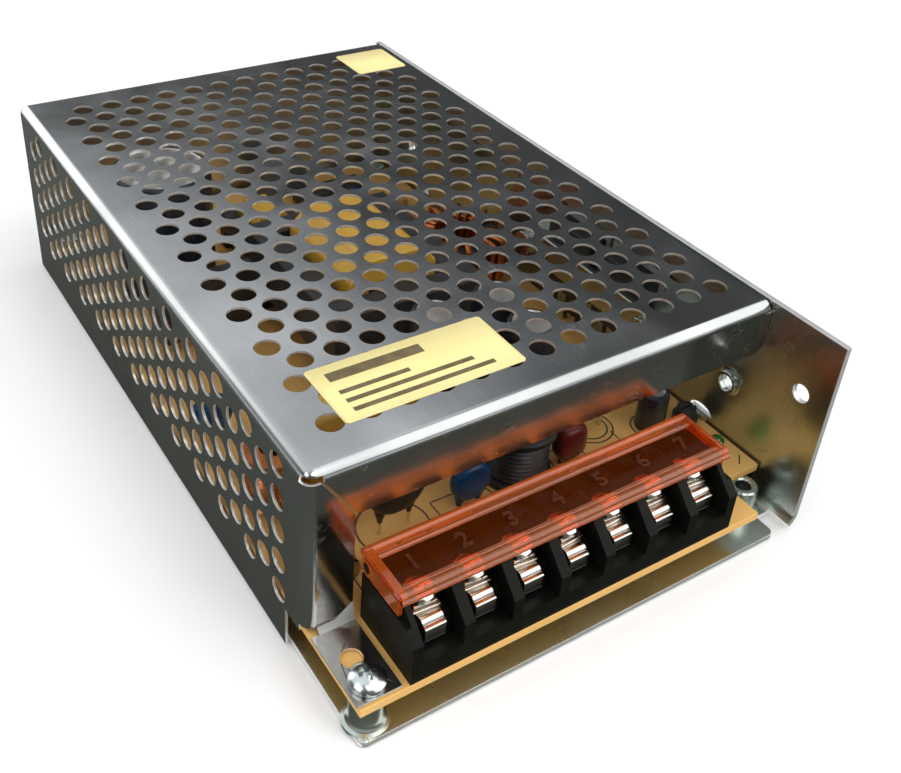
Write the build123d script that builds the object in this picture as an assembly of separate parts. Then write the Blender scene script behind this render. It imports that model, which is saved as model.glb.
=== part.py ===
from build123d import *
import os

# Case, with its front at the terminals
case_width = 98.0
case_length = 160.0
case_height = 43.0
left = -case_width / 2
right = case_width / 2
front = -case_length / 2
rear = case_length / 2

# Base sheet, floor and right wall in one fold
base_thickness = 1.2
base_bend_radius = 2.4
base_side_gap = 0.2
tongue_notch_width = 2.8
tongue_notch_inset = 1.7
tongue_notch_depth = 4.8
tongue_corner_radius = 1.5
boss_radius = 2.9
boss_foot = 0.6
boss_height = 6.0
thread_radius = 1.5
thread_gap = 0.05
wall_hole_radius = 1.85
wall_hole_from_front = 6.2
wall_hole_height = 29.0
wall_thread_radius = 1.65
wall_collar_wall = 0.9
wall_collar_length = 1.0
wall_thread_from_end = 22.0
wall_thread_height = 21.0
hook_radius = 3.0
hook_reach = 1.3
hook_from_end = 27.0
ear_width = 10.0
ear_height = 8.4
ear_from_side = 19.0

# Cover sheet, folded from one piece
cover_thickness = 0.8
cover_bend_radius = 1.5
cover_setback = 16.5
cover_wall_gap = 0.1
cover_foot_gap = 0.4
lip_drop = 11.0
lip_corner_radius = 2.5
flange_width = 8.6
mitre_gap = 0.5
mitre_top_offset = 2.3
corner_relief_radius = 1.2
tab_side_step = 0.6
tab_setback = 1.0
tab_bend_radius = 0.8
spare_hole_radius = 1.9
spare_hole_offset = 4.9
wall_notch_length = 7.0
skirt_depth = 8.0
skirt_inset = 5.5

# Round perforation, drawn with few sides
hole_corner_radius = 2.8
hole_sides = 4
hole_pitch = 6.88
row_pitch = 5.43
first_row_from_cover_front = 10.6
last_row_margin = 7.5
first_hole_from_side = 8.8
last_hole_margin = 4.5
wall_hole_pitch = 7.27
first_wall_hole_height = 7.6
wall_hole_top_margin = 5.0

# Board
board_thickness = 1.6
board_side_gap = 0.5
board_rear_gap = 0.6
board_setback = 0.6
board_cut_width = 10.2
board_cut_depth = 9.6
board_cut_radius = 3.0

# Sides of round things that repeat
shank_sides = 6
small_sides = 10
round_sides = 12
large_sides = 20

# Fasteners
screw_radius = thread_radius - thread_gap
screw_hole_radius = 1.7
pan_head_radius = 3.1
pan_head_height = 2.2
pan_head_dome = 0.9
recess_width = 0.9
recess_length = 3.8
recess_depth = 1.1
corner_screw_inset = 4.3
spare_boss_from_right = 7.0
spare_boss_from_front = 8.6
rear_boss_inset = 6.0
rear_screw_height = 4.2
rear_screw_length = 4.0
cone_head_radius = 2.6
cone_head_depth = 1.1

# Terminal block
terminal_count = 7
terminal_pitch = 9.5
barrier_width = 2.0
block_from_left = 9.95
block_setback = 0.8
block_depth = 15.4
block_height = 13.4
block_nose_height = 8.0
block_nose_depth = 5.4
block_rear_height = 11.2
block_rear_wall = 3.6
ledge_height = 3.8
ledge_depth = 3.8
seat_height = 7.8
rear_slot_width = 3.4
rear_slot_depth = 4.0
screw_pocket = 4.2
screw_pocket_depth = 4.0
end_recess_depth = 1.0
end_recess_height = 10.2
contact_thickness = 0.8
contact_width = 6.4
contact_foot_width = 4.6
contact_foot_drop = 2.4
contact_end_gap = 0.2
washer_sizes = (6.6, 5.6)
washer_thickness = 0.7
terminal_screw_hole = 2.1
terminal_screw_radius = 1.5
terminal_head_radius = 2.8
terminal_head_height = 2.0
terminal_head_dome = 0.6
terminal_screw_depth = 3.6

# Hinged cover over the terminals
lid_gap = 0.2
lid_thickness = 1.0
lid_front_setback = 3.5
lid_rear_overhang = 0.8
lid_front_drop = 0.8
lid_ridge_width = 1.6
lid_ridge_height = 0.9
lid_flange = 0.8
lid_flange_drop = 2.9
lid_flange_front = 1.0
pin_radius = 0.9
pin_gap = 0.05
pin_from_rear = 1.2
pin_from_top = 1.1
pin_eye_radius = 1.7

# Labels
label_thickness = 0.1
front_label_size = (34.5, 14.5)
front_label_from_side = 11.0
front_label_from_cover_front = 7.6
seal_size = (14.0, 13.0)
seal_from_rear = 5.0

# Parts along the front edge of the board
trimmer_from_side = 3.9
trimmer_from_front = 27.0
trimmer_radius = 2.6
trimmer_height = 2.2
rotor_radius = 2.0
rotor_height = 1.6
rotor_slot = 0.6
rotor_slot_depth = 0.5
light_from_side = 6.0
light_from_front = 16.5
light_radius = 1.5
light_height = 5.0
light_dome = 0.9
thermistor_place = (-0.245 * case_width, -0.309 * case_length)
thermistor_radius = 6.0
thermistor_thickness = 3.4
front_disc_place = (-0.087 * case_width, -0.316 * case_length)
front_disc_radius = 4.2
disc_thickness = 3.2
side_disc_from_left = 6.5
side_disc_y = -0.0813 * case_length
rear_disc_place = (0.214 * case_width, 0.275 * case_length)
rear_disc_radius = 4.8
lead_width = 0.7
disc_lead_height = 3.0
choke_place = (0.041 * case_width, -0.3 * case_length)
choke_radius = 7.0
choke_height = 12.0
choke_flange = 1.4
choke_waist = 1.6
drop_size = (6.4, 4.6, 7.6)
drop_gap = 0.384
drop_x = choke_place[0] + choke_radius + drop_gap + drop_size[0] / 2
drop_place = (drop_x, -0.316 * case_length)
shunt_place = (0.24 * case_width, -0.281 * case_length)
shunt_span = 9.0
shunt_height = 3.4
shunt_width = 1.2
small_can_place = (0.367 * case_width, -0.316 * case_length)
small_can_radius = 3.0
small_can_height = 9.0

# Line side
fuse_place = (-0.388 * case_width, -0.3 * case_length)
fuse_length = 20.0
fuse_radius = 2.6
fuse_cap_length = 5.5
fuse_height = 4.0
line_coil_from_left = 10.0
line_coil_radius = 6.0
line_coil_y = fuse_place[1] + fuse_length / 2 + line_coil_radius
line_coil_hole = 2.5
line_coil_height = 12.0
line_capacitor_size = (24.0, 8.0, 15.0)
line_capacitor_gap = 1.008
line_capacitor_left = left + line_coil_from_left + line_coil_radius + line_capacitor_gap
line_capacitor_place = (line_capacitor_left + line_capacitor_size[0] / 2, -0.181 * case_length)
bridge_place = (-0.306 * case_width, 0.113 * case_length)
bridge_size = (22.0, 4.0, 14.0)
bridge_lead_pitch = 5.0
bulk_place = (-0.296 * case_width, 0.269 * case_length)
bulk_radius = 11.0
bulk_headroom = 3.2
can_bead = 0.6
can_bead_height = 2.4

# Transformers
transformer_place = (0.02 * case_width, 0.05 * case_length)
core_size = (0.367 * case_width, 0.2625 * case_length, 13.0)
core_leg = 6.0
core_centre_leg = 11.0
core_lift = 6.5
winding_radius = 4.0
winding_gap = 0.2
winding_side_gap = 1.483
winding_end_gap = 1.5
winding_height = 25.4
winding_size = (core_size[0] - 2 * (core_leg + winding_side_gap),
                core_size[1] - 2 * (core_leg + winding_end_gap), winding_height)
driver_place = (-0.031 * case_width, 0.287 * case_length)
driver_core_size = (16.0, 17.0, 5.0)
driver_leg = 3.2
driver_centre_leg = 4.6
driver_lift = 4.5
driver_side_gap = 0.1
driver_end_gap = 0.2
driver_winding_height = 12.0
driver_winding_size = (driver_core_size[0] - 2 * (driver_leg + driver_side_gap),
                       driver_core_size[1] - 2 * (driver_leg + driver_end_gap), driver_winding_height)
driver_winding_radius = 2.0

# Output side
can_radius = 5.0
can_height = 24.0
can_to_capacitor = 2.6
can_to_can = 4.602
first_can_x = line_capacitor_left + line_capacitor_size[0] + can_to_capacitor + can_radius
second_can_x = first_can_x + 2 * can_radius + can_to_can
output_can_places = ((first_can_x, -0.154 * case_length),
                     (second_can_x, -0.154 * case_length),
                     (second_can_x, -0.225 * case_length))
ring_from_right = 0.157 * case_width
ring_y = 0.1038 * case_length
ring_radius = 0.1245 * case_width
ring_hole_radius = 5.0
ring_height = 13.0
ring_core_cover = 1.8
ring_turns = 10

# Row of power devices clamped to the right wall
device_ys = (-0.181 * case_length, -0.075 * case_length)
device_size = (4.6, 14.0, 16.0)
device_headroom = 2.2
device_lead_width = 1.0
device_lead_pitch = 4.0
pad_thickness = 0.4
clamp_thickness = 2.0
clamp_height = 7.0
clamp_overhang = 4.0
clamp_foot_length = 6.0
clamp_screw_radius = 1.5
clamp_screw_head = 2.8
clamp_screw_head_height = 2.0

# Low parts
chip_place = (0.245 * case_width, 0.388 * case_length)
chip_size = (19.0, 6.4, 3.4)
chip_pins = 8
chip_pin_pitch = 2.54
chip_pin_width = 0.6
film_place = (0.143 * case_width, 0.444 * case_length)
film_size = (12.0, 6.0, 10.0)
resistor_places = ((-0.143 * case_width, 0.388 * case_length),
                   (-0.143 * case_width, 0.419 * case_length),
                   (0.306 * case_width, 0.212 * case_length),
                   (0.367 * case_width, 0.312 * case_length))
resistor_length = 6.4
resistor_width = 2.3
resistor_span = 10.0
resistor_height = 0.6
jumper_places = ((-0.408 * case_width, 0.412 * case_length),
                 (0.408 * case_width, 0.25 * case_length),
                 (-0.23 * case_width, -0.062 * case_length))
jumper_span = 8.0
jumper_height = 1.0

# Levels and edges worked out from the sizes above
board_bottom = base_thickness + boss_height
board_top = board_bottom + board_thickness
wall_inside = right - base_thickness
base_left = left + cover_thickness + base_side_gap
floor_rear = rear - cover_thickness - cover_wall_gap
cover_front = front + cover_setback
cover_right = wall_inside - cover_wall_gap
cover_inside = case_height - cover_thickness
device_bottom = case_height - skirt_depth - device_headroom - device_size[2]
board_left = base_left
board_right = wall_inside - board_side_gap
board_front = front + board_setback
board_rear = floor_rear - base_thickness - board_rear_gap
corner_screw_x = left + corner_screw_inset
corner_screw_y = front + corner_screw_inset
rear_boss_xs = (left + rear_boss_inset, right - rear_boss_inset)
rear_boss_y = board_rear - rear_boss_inset
ear_xs = (left + ear_from_side, right - ear_from_side)
block_front = front + block_setback
block_rear = block_front + block_depth
block_length = terminal_count * terminal_pitch + barrier_width
block_left = left + block_from_left
block_right = block_left + block_length
block_top = board_top + block_height
seat_top = board_top + seat_height
seat_front = block_front + ledge_depth
seat_rear = block_rear - block_rear_wall
cell_width = terminal_pitch - barrier_width
cell_xs = [block_left + barrier_width / 2 + terminal_pitch * (i + 0.5) for i in range(terminal_count)]
terminal_screw_y = (seat_front + seat_rear) / 2
contact_top = seat_top + contact_thickness
washer_top = contact_top + len(washer_sizes) * washer_thickness
pin_y = block_rear - pin_from_rear
pin_z = block_top - pin_from_top
small = 0.01
past = 1.0


def block(x0, x1, y0, y1, z0, z1):
    centre = Pos((x0 + x1) / 2, (y0 + y1) / 2, (z0 + z1) / 2)
    return centre * Box(x1 - x0, y1 - y0, z1 - z0)


def block_on(place, size, z0):
    return block(place[0] - size[0] / 2, place[0] + size[0] / 2, place[1] - size[1] / 2,
                 place[1] + size[1] / 2, z0, z0 + size[2])


def peg_z(x, y, z0, z1, radius):
    return Pos(x, y, (z0 + z1) / 2) * Cylinder(radius, z1 - z0)


def peg_x(y, z, x0, x1, radius):
    return Pos((x0 + x1) / 2, y, z) * Rot(0, 90, 0) * Cylinder(radius, x1 - x0)


def post_z(x, y, z0, z1, radius, sides):
    # Round post, drawn with few sides
    return extrude(Pos(x, y, z0) * RegularPolygon(radius, sides), amount=z1 - z0)


def post_x(y, z, x0, x1, radius, sides):
    return extrude(Plane.YZ.offset(x0) * Pos(y, z) * RegularPolygon(radius, sides), amount=x1 - x0)


def post_y(x, z, y0, y1, radius, sides):
    return extrude(Plane.XZ.offset(-y0) * Pos(x, z) * RegularPolygon(radius, sides), amount=y0 - y1)


def edges_at(shape, axis, **place):
    found = shape.edges().filter_by(axis)
    for name, value in place.items():
        found = [edge for edge in found if abs(getattr(edge.center(), name.upper()) - value) < small]
    return found


def extrude_x(points, x0, x1):
    # A closed outline of (y, z) points, drawn out along the width
    face = make_face(Polyline(*points, close=True))
    return extrude(Plane.YZ.offset(x0) * face, amount=x1 - x0)


def extrude_y(points, y0, y1):
    # A closed outline of (x, z) points, drawn out along the length
    face = make_face(Polyline(*points, close=True))
    return extrude(Plane.XZ.offset(-y0) * face, amount=-(y1 - y0))


def drawn_boss(x, y):
    # Boss drawn up from the floor, with its thread running right through
    foot = base_thickness + boss_foot
    boss = post_z(x, y, small, board_bottom, boss_radius, round_sides)
    return boss + post_z(x, y, small, foot, boss_radius + boss_foot, round_sides)


def board_hook(y):
    # Half-round flap lanced from the wall and bent in over the board's edge
    flap_x = wall_inside + hook_radius - hook_reach
    flap = post_z(flap_x, y, board_top + small, board_top + base_thickness, hook_radius, round_sides)
    flap &= block(left, right - small, y - hook_radius, y + hook_radius, 0, case_height)
    opening_bottom = board_top + base_thickness
    opening = post_x(y, opening_bottom, wall_inside - past, right + past, hook_radius, round_sides)
    opening &= block(wall_inside, right + past, y - hook_radius, y + hook_radius,
                     opening_bottom, opening_bottom + hook_radius)
    return flap, opening


def rear_screw_shape(x, clearance):
    # Screw with a flush tapered head that enters from the rear
    head = post_y(x, rear_screw_height, rear - cone_head_depth, rear, cone_head_radius + clearance,
                  small_sides)
    head = head.chamfer(cone_head_depth - small, None, head.faces().sort_by(Axis.Y)[0].edges())
    y0 = rear - rear_screw_length - clearance
    return head + post_y(x, rear_screw_height, y0, rear - small, screw_radius + clearance, shank_sides)


def make_chassis():
    outline = [(base_left, 0), (right, 0), (right, case_height), (wall_inside, case_height),
               (wall_inside, base_thickness), (base_left, base_thickness)]
    fold = make_face(Polyline(*outline, close=True)).face()
    by_place = fold.vertices().sort_by_distance((wall_inside, base_thickness, 0))
    fold = fold.fillet_2d(base_bend_radius, by_place[:1])
    by_place = fold.vertices().sort_by_distance((right, 0, 0))
    fold = fold.fillet_2d(base_bend_radius + base_thickness, by_place[:1])
    sheet = extrude(Plane.XZ.offset(-front) * fold, amount=-case_length)
    sheet -= block(left, wall_inside, floor_rear, rear + past, -past, base_thickness + base_bend_radius)
    notch_right = wall_inside - tongue_notch_inset
    notch_left = notch_right - tongue_notch_width
    sheet -= block(notch_left, notch_right, front - past, front + tongue_notch_depth,
                   -past, base_thickness + past)
    sheet = sheet.fillet(tongue_corner_radius, edges_at(sheet, Axis.Z, x=notch_left, y=front))
    sheet = sheet.fillet(tongue_corner_radius, edges_at(sheet, Axis.Z, x=base_left, y=front))
    bosses = [(corner_screw_x, corner_screw_y)] + [(x, rear_boss_y) for x in rear_boss_xs]
    bosses.append((right - spare_boss_from_right, front + spare_boss_from_front))
    for x, y in bosses:
        sheet += drawn_boss(x, y)
    for x in ear_xs:
        sheet += block(x - ear_width / 2, x + ear_width / 2, floor_rear - base_thickness, floor_rear,
                       0, ear_height)
    for y in (front + wall_thread_from_end, rear - wall_thread_from_end):
        collar_radius = wall_thread_radius + wall_collar_wall
        sheet += post_x(y, wall_thread_height, wall_inside - wall_collar_length, right - small,
                        collar_radius, round_sides)
    for y in (front + hook_from_end, rear - hook_from_end):
        flap, opening = board_hook(y)
        sheet = sheet - opening + flap
    for x, y in bosses:
        sheet -= post_z(x, y, -past, board_bottom + past, thread_radius, shank_sides)
    for x in ear_xs:
        sheet -= rear_screw_shape(x, thread_gap)
    for y in (front + wall_thread_from_end, rear - wall_thread_from_end):
        sheet -= peg_x(y, wall_thread_height, wall_inside - wall_collar_length - past, right + past,
                       wall_thread_radius)
    sheet -= peg_x(front + wall_hole_from_front, wall_hole_height, wall_inside - past, right + past,
                   wall_hole_radius)
    for y in clamp_screw_ys():
        sheet -= post_x(y, clamp_level(), wall_inside - past, right + past, clamp_screw_radius + thread_gap,
                        shank_sides)
    return sheet


def cover_box(inset, bottom):
    # Closed box of the cover's outside, or of its inside when inset by the sheet
    x0 = left + inset
    x1 = cover_right - inset
    y0 = cover_front + inset
    y1 = rear - inset
    top = case_height - inset
    shape = block(x0, x1, y0, y1, bottom, top)
    bends = edges_at(shape, Axis.Y, z=top)
    bends += edges_at(shape, Axis.X, z=top)
    bends += edges_at(shape, Axis.Z, x=x0)
    return shape.fillet(cover_bend_radius - inset, bends)


def row_positions(first, last, pitch):
    count = int((last - first) / pitch + small) + 1
    return [first + pitch * i for i in range(count)]


def perforation():
    # Staggered rows through the top and the left wall, on shared row positions
    rows = row_positions(cover_front + first_row_from_cover_front, rear - last_row_margin, row_pitch)
    first_x = left + first_hole_from_side
    last_x = cover_right - last_hole_margin
    last_z = case_height - wall_hole_top_margin
    top_places = []
    wall_places = []
    for k, y in enumerate(rows):
        stagger = (k % 2) / 2
        top_places += [(x, y) for x in row_positions(first_x + stagger * hole_pitch, last_x, hole_pitch)]
        first_z = first_wall_hole_height + stagger * wall_hole_pitch
        wall_places += [(y, z) for z in row_positions(first_z, last_z, wall_hole_pitch)]
    hole = RegularPolygon(hole_corner_radius, hole_sides)
    top_sheet = Plane.XY.offset(cover_inside - past)
    wall_sheet = Plane.YZ.offset(left - past)
    depth = cover_thickness + 2 * past
    top_cuts = [extrude(top_sheet * Pos(x, y) * hole, amount=depth) for x, y in top_places]
    wall_cuts = [extrude(wall_sheet * Pos(y, z) * hole, amount=depth) for y, z in wall_places]
    return top_cuts + wall_cuts


def make_cover():
    bottom = cover_foot_gap
    sheet = cover_box(0, bottom) - cover_box(cover_thickness, bottom - past)
    inner_y = cover_front + cover_thickness
    flange_right = left + flange_width
    lip_bottom = case_height - lip_drop
    # Front opening between the return flange and the right wall, under the lip
    sheet -= block(flange_right, right, front, inner_y, 0, lip_bottom)
    sheet -= block(left - past, right, front, inner_y, -past, board_top)
    # Mitre between the lip and the return flange, and the round relief at the corner
    mitre_top = left + mitre_top_offset
    mitre = [(mitre_top, cover_inside), (mitre_top + mitre_gap, cover_inside),
             (flange_right + mitre_gap, lip_bottom - small), (flange_right, lip_bottom - small)]
    sheet -= extrude_y(mitre, cover_front - past, inner_y + small)
    relief_bottom = cover_inside - corner_relief_radius
    sheet -= post_z(left + corner_relief_radius, inner_y, relief_bottom, case_height + past,
                    corner_relief_radius, shank_sides)
    # Right edge, a skirt that hides behind the right wall
    skirt_front = cover_front + skirt_inset
    inner_x = cover_right - cover_thickness
    sheet -= block(inner_x, right, inner_y, rear - cover_thickness, 0, case_height - skirt_depth)
    sheet -= block(inner_x, right, inner_y, skirt_front, 0, case_height - cover_bend_radius)
    # Notch at the foot of the left wall, where the board's corner passes
    sheet -= block(left - past, left + cover_bend_radius, front, cover_front + wall_notch_length,
                   -past, board_top)
    sheet = sheet.fillet(lip_corner_radius, edges_at(sheet, Axis.Y, x=cover_right, z=lip_bottom))
    # Tab bent forward from the flange's foot, lying on the board
    tab_top = board_top + cover_thickness
    tab_left = left + tab_side_step
    tab = block(tab_left, flange_right, front + tab_setback, inner_y, board_top, tab_top)
    heel_top = tab_top + tab_bend_radius
    heel = block(tab_left, flange_right, cover_front - tab_bend_radius, cover_front, tab_top, heel_top)
    heel -= peg_x(cover_front - tab_bend_radius, heel_top, left - past, right, tab_bend_radius)
    sheet = sheet + tab + heel
    sheet -= post_z(corner_screw_x, corner_screw_y, 0, tab_top + past, screw_hole_radius, shank_sides)
    spare_y = corner_screw_y + spare_hole_offset
    sheet -= post_z(corner_screw_x, spare_y, 0, tab_top + past, spare_hole_radius, round_sides)
    for x in ear_xs:
        sheet -= rear_screw_shape(x, thread_gap)
    return sheet.cut(*[cut.solid() for cut in perforation()])


def pan_head(x, y, seat, head_radius, head_height, dome):
    # Round screw head with a cross recess
    head = post_z(x, y, seat, seat + head_height, head_radius, small_sides)
    head = head.chamfer(dome, None, head.faces().sort_by(Axis.Z)[-1].edges())
    floor = seat + head_height - recess_depth
    top = seat + head_height + past
    half = recess_length / 2
    head -= block(x - half, x + half, y - recess_width / 2, y + recess_width / 2, floor, top)
    return head - block(x - recess_width / 2, x + recess_width / 2, y - half, y + half, floor, top)


def make_corner_screw():
    x = corner_screw_x
    y = corner_screw_y
    seat = board_top + cover_thickness
    head = pan_head(x, y, seat, pan_head_radius, pan_head_height, pan_head_dome)
    return head + post_z(x, y, base_thickness, seat + small, screw_radius, shank_sides)


def make_board_screws():
    screws = []
    for x in rear_boss_xs:
        head = post_z(x, rear_boss_y, board_top, board_top + pan_head_height, pan_head_radius, round_sides)
        shank = post_z(x, rear_boss_y, base_thickness, board_top + small, screw_radius, shank_sides)
        screws.append(head + shank)
    return screws


def make_rear_screws():
    return [rear_screw_shape(x, 0) for x in ear_xs]


def make_front_sticker():
    x0 = left + front_label_from_side
    y0 = cover_front + front_label_from_cover_front
    return block(x0, x0 + front_label_size[0], y0, y0 + front_label_size[1], case_height,
                 case_height + label_thickness)


def make_circuit_board():
    board = block(board_left, board_right, board_front, board_rear, board_bottom, board_top)
    cut_left = board_right - board_cut_width
    cut_rear = board_front + board_cut_depth
    board -= block(cut_left, right, front, cut_rear, 0, case_height)
    board = board.fillet(board_cut_radius, edges_at(board, Axis.Z, x=cut_left, y=cut_rear))
    places = [(corner_screw_x, corner_screw_y)] + [(x, rear_boss_y) for x in rear_boss_xs]
    for x, y in places:
        board -= post_z(x, y, 0, case_height, screw_hole_radius, shank_sides)
    return board


def make_terminal_block():
    nose_top = board_top + block_nose_height
    rear_top = board_top + block_rear_height
    outline = [(block_front, board_top), (block_front, nose_top), (block_front + block_nose_depth, block_top),
               (block_rear, block_top), (block_rear, board_top)]
    body = extrude_x(outline, block_left, block_right)
    body = body.fillet(pin_from_top, edges_at(body, Axis.X, y=block_rear, z=block_top))
    for x in cell_xs:
        x0 = x - cell_width / 2
        x1 = x + cell_width / 2
        body -= block(x0, x1, front, seat_front, board_top + ledge_height, case_height)
        body -= block(x0, x1, seat_front - small, seat_rear, seat_top, case_height)
        pocket = screw_pocket / 2
        body -= block(x - pocket, x + pocket, terminal_screw_y - pocket, terminal_screw_y + pocket,
                      seat_top - screw_pocket_depth, seat_top + past)
    inner_left = block_left + barrier_width
    inner_right = block_right - barrier_width
    body -= block(inner_left, inner_right, seat_rear - small, block_rear + past, rear_top, case_height)
    for x in cell_xs[1:]:
        barrier_x = x - terminal_pitch / 2
        body -= block(barrier_x - rear_slot_width / 2, barrier_x + rear_slot_width / 2,
                      block_rear - rear_slot_depth, block_rear + past, 0, case_height)
    for x0, x1 in ((block_left - past, block_left + end_recess_depth),
                   (block_right - end_recess_depth, block_right + past)):
        body -= block(x0, x1, front, block_rear + past, board_top + end_recess_height, case_height)
    body += peg_x(pin_y, pin_z, block_left + small, block_left + end_recess_depth + small, pin_radius)
    body += peg_x(pin_y, pin_z, block_right - end_recess_depth - small, block_right - small, pin_radius)
    return body


def make_contact(x):
    foot_front = seat_front - contact_thickness
    plate = block(x - contact_width / 2, x + contact_width / 2, seat_front, seat_rear - contact_end_gap,
                  seat_top, contact_top)
    foot = block(x - contact_foot_width / 2, x + contact_foot_width / 2, foot_front, seat_front,
                 contact_top - contact_foot_drop, contact_top)
    return plate + foot - screw_hole(x)


def screw_hole(x):
    return post_z(x, terminal_screw_y, 0, case_height, terminal_screw_hole, shank_sides)


def make_washers(x):
    washers = []
    for i, size in enumerate(washer_sizes):
        z0 = contact_top + i * washer_thickness
        washer = block_on((x, terminal_screw_y), (size, size, washer_thickness), z0)
        washers.append(washer - screw_hole(x))
    return washers


def make_terminal_screw(x):
    y = terminal_screw_y
    head = pan_head(x, y, washer_top, terminal_head_radius, terminal_head_height, terminal_head_dome)
    return head + peg_z(x, y, seat_top - terminal_screw_depth, washer_top + small, terminal_screw_radius)


def make_terminal_cover():
    bottom = block_top + lid_gap
    field = bottom + lid_thickness
    ridge = field + lid_ridge_height
    y0 = block_front + lid_front_setback
    y1 = block_rear + lid_rear_overhang
    slope = lid_ridge_height / 2
    outline = [(y0, bottom - lid_front_drop), (y0, ridge - slope), (y0 + slope, ridge),
               (y0 + lid_ridge_width, ridge), (y0 + lid_ridge_width + slope, field),
               (y1 - lid_ridge_width - slope, field), (y1 - lid_ridge_width, ridge), (y1 - slope, ridge),
               (y1, ridge - slope), (y1, bottom), (y0 + lid_thickness, bottom),
               (y0 + lid_thickness, bottom - lid_front_drop)]
    lid = extrude_x(outline, block_left, block_right)
    for x0, x1 in ((block_left, block_left + lid_flange), (block_right - lid_flange, block_right)):
        # End wall with the eye that turns on the block's pin, and the raised rim over it
        lid += block(x0, x1, y0 + lid_flange_front, pin_y, bottom - lid_flange_drop, bottom + small)
        lid += block(x0, x1, pin_y - small, pin_y + pin_eye_radius, pin_z, bottom + small)
        lid += peg_x(pin_y, pin_z, x0, x1, pin_eye_radius)
        lid += block(x0, x1, y0 + slope, y1 - slope, field - small, ridge)
        lid -= peg_x(pin_y, pin_z, x0 - past, x1 + past, pin_radius + pin_gap)
    return lid


def make_seal_sticker():
    x1 = cover_right - cover_bend_radius
    y1 = rear - seal_from_rear
    return block(x1 - seal_size[0], x1, y1 - seal_size[1], y1, case_height, case_height + label_thickness)


def make_trimmer_body():
    x = board_right - trimmer_from_side
    y = front + trimmer_from_front
    return post_z(x, y, board_top, board_top + trimmer_height, trimmer_radius, round_sides)


def make_trimmer_rotor():
    x = board_right - trimmer_from_side
    y = front + trimmer_from_front
    z0 = board_top + trimmer_height
    top = z0 + rotor_height
    half = rotor_slot / 2
    rotor = peg_z(x, y, z0, top, rotor_radius)
    return rotor - block(x - rotor_radius, x + rotor_radius, y - half, y + half, top - rotor_slot_depth,
                         top + past)


def make_power_light():
    x = board_right - light_from_side
    y = front + light_from_front
    light = post_z(x, y, board_top, board_top + light_height, light_radius, small_sides)
    return light.chamfer(light_dome, None, light.faces().sort_by(Axis.Z)[-1].edges())


def standing_disc(place, radius, thickness):
    # Coated disc on edge, with two leads down to the board
    x, y = place
    z = board_top + disc_lead_height + radius
    disc = post_y(x, z, y - thickness / 2, y + thickness / 2, radius, round_sides)
    for side in (-1, 1):
        lead_x = x + side * radius / 2
        disc += block_on((lead_x, y), (lead_width, lead_width, z - board_top), board_top)
    return disc


def make_thermistor():
    return standing_disc(thermistor_place, thermistor_radius, thermistor_thickness)


def make_disc_capacitors():
    side_place = (left + side_disc_from_left, side_disc_y)
    return [standing_disc(front_disc_place, front_disc_radius, disc_thickness),
            standing_disc(side_place, front_disc_radius, disc_thickness),
            standing_disc(rear_disc_place, rear_disc_radius, disc_thickness)]


def make_line_choke():
    # Wire wound between the flanges of a drum
    x, y = choke_place
    top = board_top + choke_height
    drum = post_z(x, y, board_top, board_top + choke_flange, choke_radius, round_sides)
    drum += post_z(x, y, board_top, top, choke_radius - choke_waist, round_sides)
    return drum + post_z(x, y, top - choke_flange, top, choke_radius, round_sides)


def make_drop_capacitor():
    body = block_on(drop_place, drop_size, board_top + disc_lead_height / 2)
    body = body.chamfer(drop_size[1] / 3, None, body.edges().filter_by(Axis.Y))
    for side in (-1, 1):
        place = (drop_place[0] + side * drop_size[0] / 4, drop_place[1])
        body += block_on(place, (lead_width, lead_width, drop_size[2] / 2), board_top)
    return body


def bridge_wire(place, span, height, width):
    # Bare wire bent down at both ends into the board
    x, y = place
    outer = block(x - span / 2, x + span / 2, y - width / 2, y + width / 2, board_top, board_top + height)
    half = span / 2 - width
    inner = block(x - half, x + half, y - width, y + width, 0, board_top + height - width)
    return outer - inner


def make_shunt_wire():
    return bridge_wire(shunt_place, shunt_span, shunt_height, shunt_width)


def make_jumper_wires():
    return [bridge_wire(place, jumper_span, jumper_height, lead_width) for place in jumper_places]


def make_small_capacitor():
    x, y = small_can_place
    return post_z(x, y, board_top, board_top + small_can_height, small_can_radius, round_sides)


def make_fuse():
    # Glass tube between two end caps, with leads down to the board
    x, y = fuse_place
    z = board_top + fuse_height
    half = fuse_length / 2
    fuse = post_y(x, z, y - half, y + half, fuse_radius - lead_width / 2, small_sides)
    for side in (-1, 1):
        cap_y = y + side * (fuse_length - fuse_cap_length) / 2
        reach = fuse_cap_length / 2
        fuse += post_y(x, z, cap_y - reach, cap_y + reach, fuse_radius, small_sides)
        fuse += block_on((x, cap_y), (lead_width, lead_width, fuse_height), board_top)
    return fuse


def make_line_capacitor():
    body = block_on(line_capacitor_place, line_capacitor_size, board_top)
    return body.chamfer(lead_width, None, body.faces().sort_by(Axis.Z)[-1].edges())


def make_line_coil():
    x = left + line_coil_from_left
    coil = post_z(x, line_coil_y, board_top, board_top + line_coil_height, line_coil_radius, round_sides)
    return coil - post_z(x, line_coil_y, 0, case_height, line_coil_hole, small_sides)


def make_bridge_rectifier():
    lift = disc_lead_height
    body = block_on(bridge_place, bridge_size, board_top + lift)
    corner_x = bridge_place[0] - bridge_size[0] / 2
    corner = edges_at(body, Axis.Y, x=corner_x, z=board_top + lift + bridge_size[2])
    body = body.chamfer(bridge_size[1] / 2, None, corner)
    for i in (-1.5, -0.5, 0.5, 1.5):
        place = (bridge_place[0] + i * bridge_lead_pitch, bridge_place[1])
        body += block_on(place, (lead_width, lead_width, lift + small), board_top)
    return body


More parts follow.
